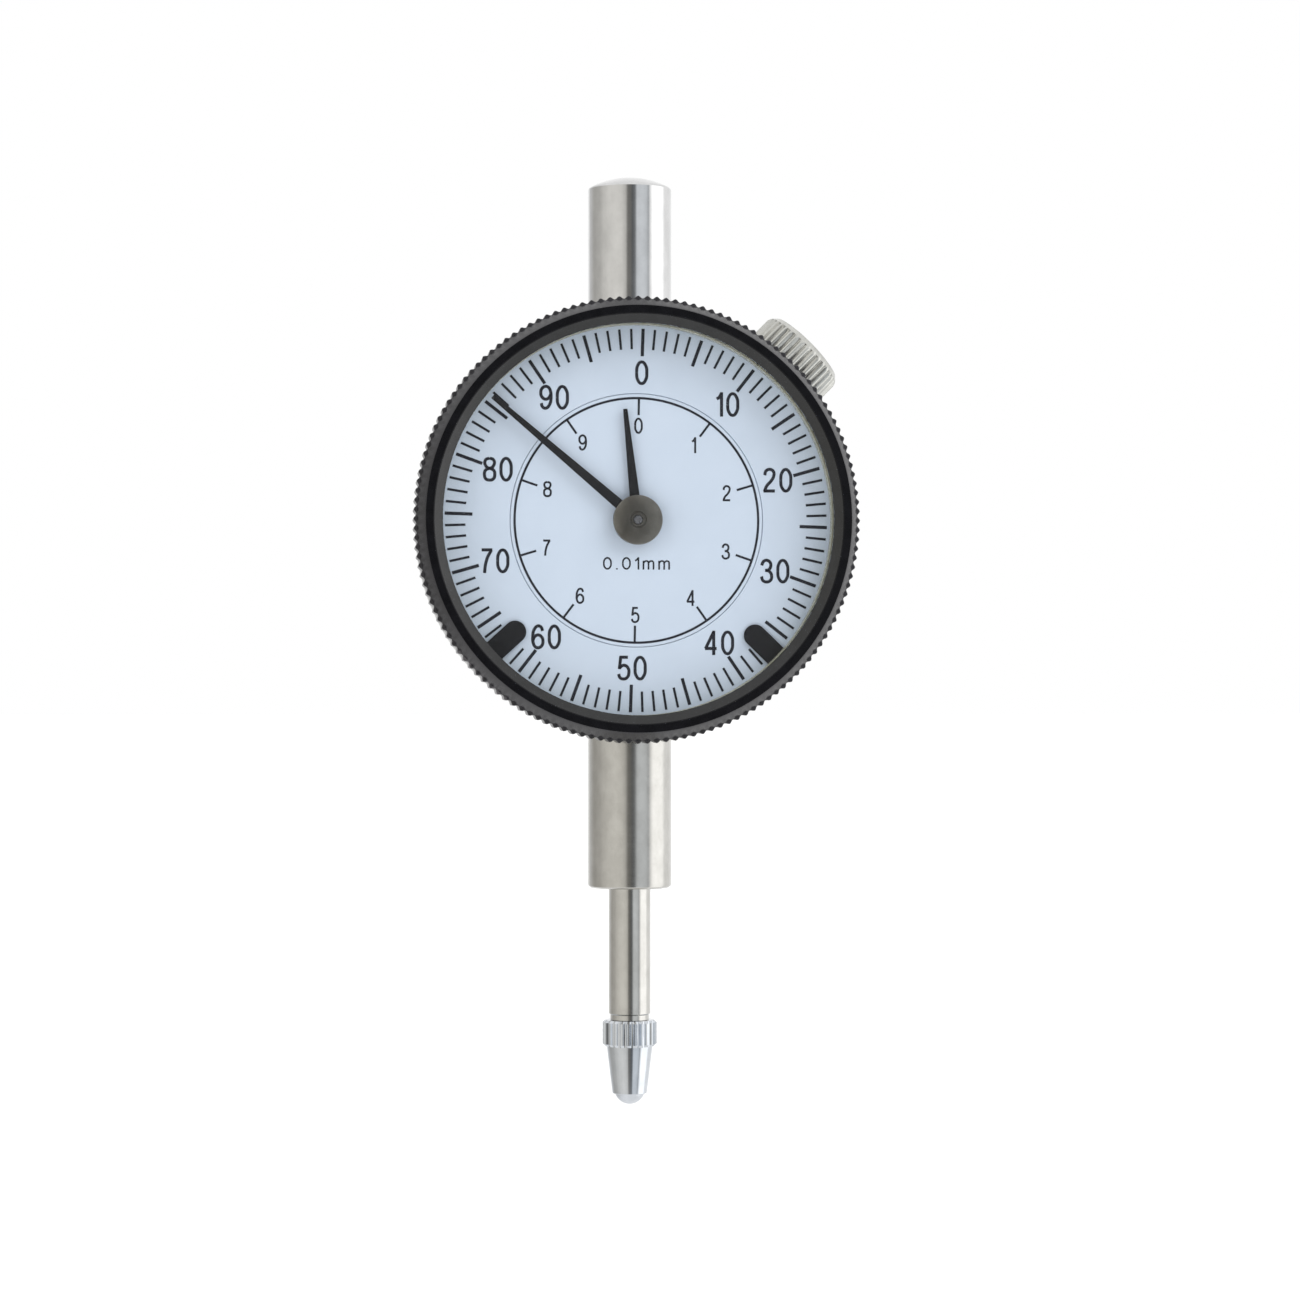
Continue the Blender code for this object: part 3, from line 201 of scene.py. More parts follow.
def apply_modifiers(piece):
    deselect()
    piece.select_set(True)
    bpy.context.view_layer.objects.active = piece
    for modifier in list(piece.modifiers):
        bpy.ops.object.modifier_apply(modifier=modifier.name)


def even_shading(piece):
    """Lets the broad faces set the shading, so that flat faces look flat."""
    weighted = piece.modifiers.new('even_shading', 'WEIGHTED_NORMAL')
    weighted.keep_sharp = True
    apply_modifiers(piece)


def cut_with(piece, tool, operation='DIFFERENCE'):
    """Cuts a tool's shape out of a piece, or joins it on, and removes the tool."""
    boolean = piece.modifiers.new('shape', 'BOOLEAN')
    boolean.operation = operation
    boolean.solver = 'EXACT'
    boolean.object = tool
    apply_modifiers(piece)
    bpy.data.objects.remove(tool, do_unlink=True)


def slab(name, low, high):
    """A rectangular block between two corners."""
    deselect()
    middle = [(a + b) / 2 for a, b in zip(low, high)]
    bpy.ops.mesh.primitive_cube_add(size=1, location=middle)
    piece = bpy.context.active_object
    piece.name = name
    piece.scale = [b - a for a, b in zip(low, high)]
    bpy.ops.object.transform_apply()
    return piece


def bar(name, radius, low, high, x=0, y=0, sides=48):
    """A round bar along z."""
    deselect()
    bpy.ops.mesh.primitive_cylinder_add(vertices=sides, radius=radius, depth=high - low,
                                        location=(x, y, (low + high) / 2))
    piece = bpy.context.active_object
    piece.name = name
    bpy.ops.object.transform_apply()
    return piece


def settle(piece, where, body, material, *nodes, smooth=35):
    """Puts a piece in its place in metres, with its finish and its body, and hides the CAD node it stands
    for.
    """
    deselect()
    piece.select_set(True)
    bpy.context.view_layer.objects.active = piece
    piece.matrix_world = Matrix.Scale(MM, 4) @ where
    bpy.ops.object.transform_apply()
    bpy.ops.object.shade_smooth_by_angle(angle=radians(smooth))
    even_shading(piece)
    piece.data.materials.clear()
    piece.data.materials.append(material)
    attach(piece, body)
    if nodes:
        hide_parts(*nodes)
    return piece


# ---------------------------------------------------------------- materials


class Finish:
    """A material whose nodes are added one by one."""

    def __init__(self, name, slot, colour, roughness, metallic=0.0, **sockets):
        self.material = bpy.data.materials.new(name)
        self.material.use_nodes = True
        self.tree = self.material.node_tree
        self.shader = self.tree.nodes['Principled BSDF']
        self.shader.inputs['Base Color'].default_value = (*colour, 1)
        self.shader.inputs['Roughness'].default_value = roughness
        self.shader.inputs['Metallic'].default_value = metallic
        for socket, value in sockets.items():
            self.shader.inputs[socket.replace('_', ' ')].default_value = value
        self.place = self.node('ShaderNodeTexCoord').outputs['Object']
        self.height = None

    def node(self, kind, **values):
        made = self.tree.nodes.new(kind)
        for key, value in values.items():
            setattr(made, key, value)
        return made

    def noise(self, stretch, detail=3.0, roughness=0.55):
        """Noise whose grains are 1 / stretch metres long each way."""
        mapping = self.node('ShaderNodeMapping')
        mapping.inputs['Scale'].default_value = stretch
        self.tree.links.new(self.place, mapping.inputs['Vector'])
        noise = self.node('ShaderNodeTexNoise')
        noise.inputs['Scale'].default_value = 1.0
        noise.inputs['Detail'].default_value = detail
        noise.inputs['Roughness'].default_value = roughness
        self.tree.links.new(mapping.outputs['Vector'], noise.inputs['Vector'])
        return noise.outputs['Fac']

    def turning_marks(self):
        """Fine rings round the dial's axis."""
        mapping = self.node('ShaderNodeMapping')
        mapping.inputs['Location'].default_value = (0, 0, -DIAL_Z * MM)
        self.tree.links.new(self.place, mapping.inputs['Vector'])
        rings = self.node('ShaderNodeTexWave', wave_type='RINGS', rings_direction='Y')
        rings.inputs['Scale'].default_value = 3900
        rings.inputs['Distortion'].default_value = 3
        rings.inputs['Detail'].default_value = 2
        self.tree.links.new(mapping.outputs['Vector'], rings.inputs['Vector'])
        return rings.outputs['Fac']

    def ramp(self, value, *stops):
        ramp = self.node('ShaderNodeValToRGB')
        elements = ramp.color_ramp.elements
        while len(elements) < len(stops):
            elements.new(0.5)
        for element, (position, colour) in zip(elements, stops):
            element.position = position
            element.color = (*colour, 1)
        self.tree.links.new(value, ramp.inputs['Fac'])
        return ramp.outputs['Color']

    def spread(self, value, low, high):
        """Maps a value of 0.3 to 0.7 onto low to high."""
        fit = self.node('ShaderNodeMapRange')
        fit.inputs['From Min'].default_value = 0.3
        fit.inputs['From Max'].default_value = 0.7
        fit.inputs['To Min'].default_value = low
        fit.inputs['To Max'].default_value = high
        self.tree.links.new(value, fit.inputs['Value'])
        return fit.outputs['Result']

    def colour(self, value):
        self.tree.links.new(value, self.shader.inputs['Base Color'])
        return self

    def roughness(self, value):
        self.tree.links.new(value, self.shader.inputs['Roughness'])
        return self

    def bump(self, value, depth, strength=1.0):
        """Adds a height in metres on top of earlier ones."""
        bump = self.node('ShaderNodeBump')
        bump.inputs['Strength'].default_value = strength
        bump.inputs['Distance'].default_value = depth
        self.tree.links.new(value, bump.inputs['Height'])
        if self.height:
            self.tree.links.new(self.height, bump.inputs['Normal'])
        self.height = bump.outputs['Normal']
        self.tree.links.new(self.height, self.shader.inputs['Normal'])
        return self


FINE = 9000
LONG = 300


def metal(name, slot, dark, light, rough, grain, depth=0.000004):
    """Bare metal: cloudy tint, streaked roughness, and fine machining lines across the grain axis."""
    made = Finish(name, slot, light, sum(rough) / 2, 1.0)
    made.colour(made.ramp(made.noise((700, 700, 500), 4), (0.35, dark), (0.65, light)))
    streaks = made.noise(grain, 3, 0.5)
    made.roughness(made.spread(streaks, *rough))
    made.bump(streaks, depth)
    return made.material


def make_materials():
    looks = {}
    looks['cap'] = metal('bright_turned', 'chrome', (0.68, 0.68, 0.68), (0.76, 0.76, 0.76), (0.09, 0.15),
                         (2600, 2600, 160), 0.0000006)
    looks['stem'] = metal('ground_stem', 'ground_steel', (0.56, 0.55, 0.52), (0.64, 0.63, 0.60), (0.14, 0.21),
                          (LONG, LONG, FINE), 0.0000012)
    looks['spindle'] = metal('ground_spindle', 'ground_steel', (0.58, 0.57, 0.54), (0.66, 0.65, 0.62),
                             (0.12, 0.18), (LONG, LONG, FINE), 0.000001)
    looks['point'] = metal('polished_point', 'chrome', (0.62, 0.65, 0.69), (0.72, 0.75, 0.79), (0.07, 0.12),
                           (LONG, LONG, 6000), 0.0000004)
    looks['knob'] = metal('dull_nickel_plate', 'dull_nickel', (0.56, 0.56, 0.53), (0.68, 0.68, 0.64),
                          (0.24, 0.36), (2500, 2500, 2500), 0.0000012)
    looks['hub'] = metal('brushed_hub', 'ground_steel', (0.20, 0.19, 0.17), (0.28, 0.27, 0.24), (0.30, 0.42),
                         (FINE, 2500, LONG), 0.000002)
    looks['case'] = metal('satin_case_metal', 'satin_case', (0.58, 0.58, 0.57), (0.62, 0.62, 0.61),
                          (0.3, 0.4), (LONG, FINE, LONG), 0.0000015)
    looks['cover'] = metal('satin_cover_metal', 'satin_case', (0.56, 0.56, 0.56), (0.60, 0.60, 0.59),
                           (0.3, 0.4), (FINE, 2500, LONG), 0.0000015)
    looks['steel'] = metal('tool_steel_bright', 'tool_steel', (0.38, 0.38, 0.40), (0.54, 0.54, 0.56),
                           (0.22, 0.36), (4000, 4000, 4000))
    looks['spring'] = metal('blued_spring', 'spring_steel', (0.16, 0.18, 0.28), (0.34, 0.37, 0.48),
                            (0.18, 0.3), (4000, 4000, 4000), 0.000002)
    looks['brass'] = metal('turned_brass', 'brass', (0.62, 0.44, 0.18), (0.80, 0.62, 0.30), (0.2, 0.34),
                           (3000, FINE, 3000))
    looks['bronze'] = metal('bush_bronze', 'bronze', (0.44, 0.28, 0.14), (0.62, 0.43, 0.24), (0.28, 0.42),
                            (3000, 3000, 3000))
    looks['fibre'] = plain('red_fibre_washer', 'red_fibre', (0.26, 0.05, 0.03), (0.42, 0.1, 0.07), (0.6, 0.8))

    looks['black'] = anodised('black_anodised_crest', (0.003, 0.003, 0.004), (0.005, 0.005, 0.0065),
                              (0.22, 0.3), 0.18)
    # The flange's paler black than the crest is painted light for its faces turned to the lamps; its pale
    # edge colour is partly wear, partly a painted highlight
    looks['black_lit_flange'] = anodised('black_anodised_flange_painted_light', (0.008, 0.0075, 0.010), (0.013, 0.012, 0.016),
                                   (0.26, 0.36), 0.5, (0.07, 0.066, 0.072))
    looks['black_cone'] = anodised('black_anodised_cone', (0.005, 0.0055, 0.006), (0.009, 0.0095, 0.01),
                                   (0.18, 0.26), 0.6)
    looks['ivory'] = plain('ivory_spacer', 'ivory_plastic', (0.30, 0.30, 0.23), (0.38, 0.38, 0.30),
                           (0.2, 0.32))
    looks['hand'] = plain('hand_black_paint', 'hand_black', (0.006, 0.006, 0.008), (0.016, 0.016, 0.018),
                          (0.32, 0.45))
    looks['print'] = plain('dial_print', 'hand_black', (0.008, 0.009, 0.016), (0.016, 0.017, 0.028),
                           (0.45, 0.6))
    looks['dial'] = plain('dial_face_paint', 'dial_white', (0.585, 0.675, 0.795), (0.61, 0.70, 0.82),
                          (0.45, 0.6))
    looks['crystal'] = crystal('acrylic_crystal')
    return looks


def plain(name, slot, dark, light, rough):
    """Paint or moulded material with a faint grain."""
    made = Finish(name, slot, light, sum(rough) / 2)
    made.colour(made.ramp(made.noise((260, 260, 260), 5), (0.3, dark), (0.7, light)))
    grain = made.noise((7000, 7000, 7000), 3)
    made.roughness(made.spread(grain, *rough))
    made.bump(grain, 0.0000015)
    return made.material


def anodised(name, dark, light, rough, shine, edge_wear_and_highlight=None):
    """Black anodising over turned aluminium. When an edge colour is given, it is a little paler where an edge
    sticks out: partly rubbed wear, partly a painted highlight.
    """
    made = Finish(name, 'black_anodised', light, sum(rough) / 2, 0.0, Specular_IOR_Level=shine)
    base = made.ramp(made.noise((900, 900, 900), 4), (0.35, dark), (0.65, light))
    if edge_wear_and_highlight:
        # Sticking-out edges take the paler colour: partly rubbed wear, partly a painted highlight on the
        # tooth tips and crest edge
        edge = made.node('ShaderNodeNewGeometry').outputs['Pointiness']
        wear_and_highlight_mask = made.ramp(edge, (0.54, (0, 0, 0)), (0.66, (1, 1, 1)))
        blend = made.node('ShaderNodeMix', data_type='RGBA')
        made.tree.links.new(wear_and_highlight_mask, blend.inputs['Factor'])
        made.tree.links.new(base, blend.inputs['A'])
        blend.inputs['B'].default_value = (*edge_wear_and_highlight, 1)
        base = blend.outputs['Result']
    made.colour(base)
    grain = made.noise((4000, 4000, 4000), 3)
    made.roughness(made.spread(grain, *rough))
    made.bump(grain, 0.0000008)
    made.bump(made.turning_marks(), 0.0000009)
    return made.material


def crystal(name):
    """Clear acrylic with a trace of haze."""
    made = Finish(name, 'clear_crystal', (0.05, 0.055, 0.06), 0.04)
    made.shader.inputs['Alpha'].default_value = 0.05
    haze = made.noise((900, 900, 900), 4)
    made.roughness(made.spread(haze, 0.02, 0.09))
    made.bump(haze, 0.000001)
    return made.material


# ---------------------------------------------------------------- bezel group

def make_bezel():
    """Turned ring with a scalloped flange, a slanted shoulder, a narrow crest and a chamfered window."""
    bore = SKIRT_BORE
    seat = -CRYSTAL_LOW.y + 0.05
    root = BEZEL_R - TOOTH_DEPTH
    profile = [(root - 0.1, FLANGE_BACK), (BEZEL_R, FLANGE_BACK + 0.12), (BEZEL_R, FLANGE_FRONT - 0.33),
               (BEZEL_R - 0.05, FLANGE_FRONT - 0.26), (root - 0.06, FLANGE_FRONT - 0.2),
               (CREST_OUTER + 0.12, CREST - 0.18), (CREST_OUTER, CREST),
               (CREST_INNER + 0.1, CREST), (CREST_INNER, CREST - 0.08), (WINDOW_R, 10.35),
               (WINDOW_R, seat), (bore, seat), (bore, SKIRT_END), (bore + SKIRT_WALL, SKIRT_END),
               (bore + SKIRT_WALL, FLANGE_BACK)]
    bezel = turn('bezel_ring', profile, TEETH * TOOTH_STEPS)
    start_edit()
    shape = [TOOTH_DEPTH * (0.5 - 0.5 * cos(2 * pi * i / TOOTH_STEPS)) for i in range(TOOTH_STEPS)]
    step = 2 * pi / (TEETH * TOOTH_STEPS)
    for phase, depth in enumerate(shape):
        if depth < 0.001:
            continue
        pick(lambda v: v.co.xy.length > root + 0.05
             and round(atan2(v.co.y, v.co.x) / step) % TOOTH_STEPS == phase)
        scale = (BEZEL_R - depth) / BEZEL_R
        bpy.ops.transform.resize(value=(scale, scale, 1), center_override=(0, 0, 0))
    bpy.ops.object.mode_set(mode='OBJECT')
    settle(bezel, FACING, 'bezel', LOOKS['black'], 'bezel', smooth=30)
    centre = Vector((0, 0, DIAL_Z)) * MM
    # Flange faces take the paler black, painted light where they face the lamps; window cone faces take the
    # shinier black
    for look, inner, outer in (('black_lit_flange', CREST_OUTER + 0.02, 30), ('black_cone', 0, CREST_INNER - 0.02)):
        bezel.data.materials.append(LOOKS[look])
        for face in bezel.data.polygons:
            radius = (face.center - centre).xz.length / MM
            if inner < radius < outer:
                face.material_index = len(bezel.data.materials) - 1


def make_window():
    """Crystal and the pale ring that spaces it from the dial."""
    seat = NECK_R + 0.09
    back, front = -CRYSTAL_HIGH.y, -CRYSTAL_LOW.y
    disc = turn('crystal_disc', [(0, back), (seat - 0.1, back), (seat, back + 0.1), (seat, front - 0.1),
                                 (seat - 0.1, front), (0, front)], 160)
    settle(disc, FACING, 'bezel', LOOKS['crystal'], 'crystal')
    ring_low, ring_high = size_of('crystal_ring')
    low, high = -ring_high.y, -ring_low.y
    ring = turn('crystal_spacer', [(WINDOW_R, low + 0.05), (WINDOW_R + 0.05, low), (seat, low),
                                   (seat, high), (WINDOW_R + 0.05, high), (WINDOW_R, high - 0.05)], 200)
    settle(ring, FACING, 'bezel', LOOKS['ivory'], 'crystal_ring')


def make_dials():
    """Outer dial ring, which turns, and the fixed inner dial, each with a faintly turned-down edge."""
    outer = NECK_R + 0.09
    inner = INNER_R + 0.05
    ring = turn('dial_ring_plate', [(inner, DIAL_BACK), (outer, DIAL_BACK), (outer, DIAL_FRONT),
                                    (inner + 0.05, DIAL_FRONT), (inner, DIAL_FRONT - 0.05)], 240)
    settle(ring, FACING, 'bezel', LOOKS['dial'], 'dial_ring')
    hole = 1.2
    disc = turn('inner_dial_plate', [(hole, DIAL_BACK), (INNER_R, DIAL_BACK), (INNER_R, DIAL_FRONT - 0.05),
                                     (INNER_R - 0.05, DIAL_FRONT), (hole, DIAL_FRONT)], 200)
    settle(disc, FACING, 'case', LOOKS['dial'], 'inner_dial')


# ---------------------------------------------------------------- dial printing

def marks(name, count, inner, outer, width, angles):
    """A pattern of radial marks: one mark is drawn, then spun round the dial for each start angle."""
    deselect()
    length = outer - inner
    bpy.ops.mesh.primitive_cube_add(size=1, location=(0, inner + length / 2, DIAL_FRONT + PRINT / 2))
    piece = bpy.context.active_object
    piece.name = name
    piece.scale = (width, length, PRINT)
    bpy.ops.object.transform_apply()
    start_edit()
    first = True
    for angle in angles:
        pick(lambda v: v.index < 8)
        if not first:
            bpy.ops.mesh.duplicate()
        bpy.ops.transform.rotate(value=radians(angle if first else angle - angles[0]), orient_axis='Z',
                                 center_override=(0, 0, 0))
        first = False
    bpy.ops.mesh.select_all(action='SELECT')
    bpy.ops.mesh.spin(steps=count, dupli=True, angle=2 * pi, center=(0, 0, 0), axis=(0, 0, 1))
    bpy.ops.mesh.select_all(action='SELECT')
    bpy.ops.mesh.remove_doubles(threshold=0.0005)
    bpy.ops.object.mode_set(mode='OBJECT')
    return piece


# Each sign is one or more strokes through points of (across, up) in a cell one high; a point followed by
# a third value is a sharp corner
SIGNS = {
    '0': (0.50, [[(0, .5), (.04, .78), (.21, .945), (.38, .78), (.42, .5), (.38, .22), (.21, .055),
                  (.04, .22), (0, .5)]]),
    '1': (0.30, [[(.02, .72, 1), (.12, .79), (.2, .93, 1)], [(.22, 1, 1), (.22, 0, 1)]]),
    '2': (0.50, [[(.01, .70, 1), (.06, .87), (.21, .945), (.37, .86), (.38, .66), (.27, .46), (.09, .26),
                  (.0, .03, 1)], [(-.04, .055, 1), (.43, .055, 1)]]),
    '3': (0.50, [[(.01, .73, 1), (.07, .88), (.21, .945), (.36, .85), (.37, .66), (.29, .55), (.15, .53, 1)],
                 [(.15, .53, 1), (.32, .49), (.42, .28), (.36, .11), (.2, .055), (.05, .12), (0, .28, 1)]]),
    '4': (0.52, [[(.33, 0, 1), (.33, 1, 1)], [(.33, .95, 1), (-.01, .26, 1)],
                 [(-.03, .27, 1), (.45, .27, 1)]]),
    '5': (0.50, [[(.38, .945, 1), (.05, .945, 1)], [(.09, .99, 1), (.03, .46, 1)],
                 [(.04, .5, 1), (.13, .59), (.26, .61), (.39, .5), (.42, .32), (.36, .13), (.2, .055),
                  (.06, .11), (0, .26, 1)]]),
    '6': (0.50, [[(.4, .74, 1), (.34, .9), (.21, .945), (.06, .8), (.0, .5), (.02, .26), (.1, .1),
                  (.21, .055), (.36, .13), (.42, .31), (.36, .5), (.22, .58), (.08, .51), (.01, .36, 1)]]),
    '7': (0.48, [[(0, .945, 1), (.44, .945, 1)], [(.4, .93, 1), (.25, .66), (.16, .35), (.12, 0, 1)]]),
    '8': (0.50, [[(.21, .945), (.05, .88), (.04, .66), (.21, .54), (.38, .66), (.37, .88), (.21, .945)],
                 [(.21, .54), (.04, .45), (0, .27), (.06, .1), (.21, .055), (.36, .1), (.42, .27), (.38, .45),
                  (.21, .54)]]),
    '9': (0.50, [[(.02, .26, 1), (.08, .1), (.21, .055), (.36, .2), (.42, .5), (.4, .74), (.32, .9),
                  (.21, .945), (.06, .87), (0, .69), (.06, .5), (.2, .42), (.34, .49), (.41, .64, 1)]]),
    '.': (0.22, [[(.07, .0, 1), (.07, .11, 1)]]),
    '-': (0.42, [[(.04, .36, 1), (.34, .36, 1)]]),
    'm': (0.72, [[(.02, 0, 1), (.02, .72, 1)],
                 [(.02, .5, 1), (.1, .66), (.2, .7), (.29, .64), (.31, .5), (.31, 0, 1)],
                 [(.31, .5, 1), (.39, .66), (.49, .7), (.58, .64), (.6, .5), (.6, 0, 1)]]),
}


def lettering(name, words, x, y, height, stretch=1.0, spacing=0.25, weight=0.13):
    """Upright signs centred on (x, y): each is drawn as a bevelled curve and pressed flat."""
    deselect()
    drawing = bpy.data.curves.new(name, 'CURVE')
    drawing.dimensions = '3D'
    drawing.bevel_depth = weight * height / 2
    drawing.bevel_resolution = 1
    drawing.resolution_u = 4
    drawing.use_fill_caps = True
    widths = [(SIGNS[sign][0] - 0.08) * stretch for sign in words]
    total = sum(widths) + spacing * (len(words) - 1)
    start = -total / 2
    for sign, width in zip(words, widths):
        for points in SIGNS[sign][1]:
            spline = drawing.splines.new('BEZIER')
            spline.bezier_points.add(len(points) - 1)
            for knot, point in zip(spline.bezier_points, points):
                knot.co = (x + height * (start + point[0] * stretch), y + height * (point[1] - 0.5), 0)
                corner = 'VECTOR' if len(point) == 3 else 'AUTO'
                knot.handle_left_type = knot.handle_right_type = corner
        start += width + spacing
    text = bpy.data.objects.new(name, drawing)
    bpy.context.collection.objects.link(text)
    text.select_set(True)
    bpy.context.view_layer.objects.active = text
    bpy.ops.object.convert(target='MESH')
    piece = bpy.context.active_object
    piece.scale = (1, 1, PRINT / (weight * height))
    piece.location = (0, 0, DIAL_FRONT + PRINT / 2)
    bpy.ops.object.transform_apply()
    start_edit()
    tidy_mesh()
    bpy.ops.object.mode_set(mode='OBJECT')
    return piece


def merge_pieces(name, parts):
    """Joins parts into the first one, under a new name."""
    deselect()
    for part in parts:
        part.select_set(True)
    bpy.context.view_layer.objects.active = parts[0]
    bpy.ops.object.join()
    parts[0].name = name
    return parts[0]


def print_outer_scale():
    """A hundred marks, longer and bolder at each five, and upright numbers at each ten."""
    division, number_circle = 3.6, 13.9
    short = marks('short_marks', 20, 16.1, 18.02, 0.23, [division * i - ZERO_ANGLE for i in (1, 2, 3, 4)])
    longer = marks('long_marks', 20, 15.45, 18.05, 0.31, [-ZERO_ANGLE])
    numbers = []
    for i in range(10):
        turn_angle = radians(-ZERO_ANGLE + 36 * i)
        x, y = number_circle * sin(turn_angle), number_circle * cos(turn_angle)
        numbers.append(lettering(f'number_{i}', str(10 * i), x, y, 2.3))
    scale = merge_pieces('outer_scale_print', [short, longer, *numbers])
    settle(scale, FACING, 'bezel', LOOKS['print'])


def print_inner_scale():
    """Thin circle, ten ticks inwards, upright digits, and the graduation."""
    inner, outer, digit_circle = 11.39, 11.61, 8.9
    top = DIAL_FRONT + PRINT
    circle = turn('inner_circle', [(inner, DIAL_FRONT), (outer, DIAL_FRONT), (outer, top), (inner, top)], 200)
    ticks = marks('inner_ticks', 10, 9.9, 11.45, 0.21, [-INNER_ZERO_ANGLE])
    digits = []
    for i in range(10):
        turn_angle = radians(-INNER_ZERO_ANGLE + 36 * i)
        x, y = digit_circle * sin(turn_angle), digit_circle * cos(turn_angle)
        digits.append(lettering(f'digit_{i}', str(i), x, y, 1.5))
    words = lettering('graduation', '0.01mm', 0, -4.05, 1.16, 1.4, 0.38, 0.14)
    scale = merge_pieces('inner_scale_print', [circle, ticks, *digits, words])
    settle(scale, FACING, 'case', LOOKS['print'])


# ---------------------------------------------------------------- hands and markers

def make_hand(name, node, length, angle, hub, bore, root_width, tip_width, body):
    """A round hub with a tapered square-ended blade grown out of its side."""
    low = -size_of(node)[1].y
    high = low + HAND_THICK
    hand = turn(name, [(bore, low), (hub, low), (hub, high), (bore, high)], 96)
    start = hub * 0.9
    blade = slab(name + '_blade', (-root_width / 2, start, low), (root_width / 2, length, high))
    start_edit()
    pick(lambda v: v.co.y > length - 0.01)
    bpy.ops.transform.resize(value=(tip_width / root_width, 1, 1), center_override=(0, length, low))
    bpy.ops.object.mode_set(mode='OBJECT')
    cut_with(hand, blade, 'UNION')
    aim = FACING @ Matrix.Rotation(radians(angle), 4, 'Z')
    settle(hand, aim, body, LOOKS['hand'], node)


def make_hub_cap():
    """Cap with a rounded rim, a fine ring groove, and the arbor's end showing in its middle."""
    low, high = -HUB_HIGH.y, -HUB_LOW.y
    radius = HUB_HIGH.x
    bore = 0.43
    cap = turn('hub_cap', [(bore, low), (radius, low), (radius, high - 0.12), (radius - 0.04, high - 0.04),
                           (radius - 0.12, high), (0.8, high), (0.76, high - 0.1), (0.68, high - 0.1),
                           (0.64, high), (bore + 0.04, high), (bore, high - 0.04)], 96)
    settle(cap, FACING, 'long_hand', LOOKS['hub'], 'hand_hub_cap')


def make_marker(side, clock_angle):
    """Flat tab with a round inner end."""
    low, high = -MARKER_HIGH.y, -MARKER_LOW.y
    half, tip = 1.05, 14.5
    outer = sqrt(NECK_R ** 2 - half ** 2)
    tab = slab(f'{side}_marker_tab', (-half, tip + half, low), (half, outer, high))
    end = bar('end', half, low, high, 0, tip + half, 48)
    cut_with(tab, end, 'UNION')
    soften(tab, 0.05)
    aim = FACING @ Matrix.Rotation(radians(-clock_angle), 4, 'Z')
    settle(tab, aim, f'{side}_marker', LOOKS['hand'], f'limit_marker_{side}')


# ---------------------------------------------------------------- stem, cap, plunger

def make_stem():
    """Mounting tube with a wider room above its bush seat, and the bush."""
    low, high = STEM_LOW.z, STEM_HIGH.z
    seat = high - 2.8
    bore, room, bush_top = 2.93, SPINDLE_R + 0.4, low + 6.0
    profile = [(bore, low + 0.06), (bore + 0.06, low), (STEM_R - 0.28, low), (STEM_R - 0.06, low + 0.14),
               (STEM_R, low + 0.3), (STEM_R, seat), (STEM_R - 0.5, seat), (STEM_R - 0.5, high), (room, high),
               (room, bush_top), (bore, bush_top)]
    settle(turn('stem_tube', profile, 96), UPRIGHT, 'case', LOOKS['stem'], 'stem')
    bush_low, bush_high = size_of('stem_bush')
    bush = turn('lower_bush', [(SPINDLE_R + 0.05, bush_low.z + 0.1), (SPINDLE_R + 0.15, bush_low.z),
                               (2.85, bush_low.z), (2.9, bush_low.z + 0.05), (2.9, bush_high.z),
                               (SPINDLE_R + 0.05, bush_high.z)], 72)
    settle(bush, UPRIGHT, 'case', LOOKS['bronze'], 'stem_bush')


def make_cap():
    """Upper tube closed by a low dome."""
    low, high = CAP_LOW.z, CAP_HIGH.z
    inner, dome = STEM_R - 1.4, 1.05
    base = high - dome
    round_r = (STEM_R ** 2 + dome ** 2) / (2 * dome)
    opening = asin((STEM_R - 0.12) / round_r)
    profile = [(0, high - 0.8), (inner, high - 0.8), (inner, low), (STEM_R, low), (STEM_R, base - 0.1),
               (STEM_R - 0.04, base - 0.02)]
    for i in range(10):
        a = opening * (1 - i / 10)
        profile.append((round_r * sin(a), high - round_r * (1 - cos(a))))
    profile.append((0, high))
    settle(turn('upper_cap', profile, 96), UPRIGHT, 'case', LOOKS['cap'], 'spindle_cap', smooth=25)


def make_spindle():
    """Ground bar with its rack cut on the left side, a neck at its lower end and a threaded hole."""
    low, high = SPINDLE_LOW.z, SPINDLE_HIGH.z
    neck = SPINDLE_R - 0.13
    profile = [(0, low + 4.27), (1.25, low + 4.27), (1.25, low), (neck, low), (neck, low + 0.47),
               (SPINDLE_R, low + 0.6), (SPINDLE_R, high - 0.3), (SPINDLE_R - 0.3, high), (0, high)]
    spindle = turn('spindle_bar', profile, 64)
    pitch, gap, depth = 0.625, 0.36, 0.42
    root = -1.6
    arbor_low, arbor_high = size_of('rack_arbor')
    line = (arbor_low.z + arbor_high.z) / 2
    count = 23
    comb = slab('rack_gap', (-SPINDLE_R - 1, -3, line + 2 * pitch - gap / 2),
                (root + depth, 3, line + 2 * pitch + gap / 2))
    start_edit()
    pick(lambda v: v.co.x > root)
    bpy.ops.transform.resize(value=(1, 1, 0.5), center_override=(0, 0, line + 2 * pitch))
    bpy.ops.object.mode_set(mode='OBJECT')
    row = comb.modifiers.new('row', 'ARRAY')
    row.count = count
    row.use_relative_offset = False
    row.use_constant_offset = True
    row.constant_offset_displace = (0, 0, -pitch)
    apply_modifiers(comb)
    cut_with(spindle, comb)
    flat = slab('rack_flat', (-SPINDLE_R - 1, -3, line + 2.5 * pitch - count * pitch),
                (root, 3, line + 2.5 * pitch))
    cut_with(spindle, flat)
    pin = bar('pin_room', 0.43, 0.9, 4, sides=24)
    pin.matrix_world = Matrix.Translation((0, 0, DIAL_Z - 5.5)) @ Matrix.Rotation(pi / 2, 4, 'Y')
    cut_with(spindle, pin)
    settle(spindle, UPRIGHT, 'plunger', LOOKS['spindle'], 'spindle')


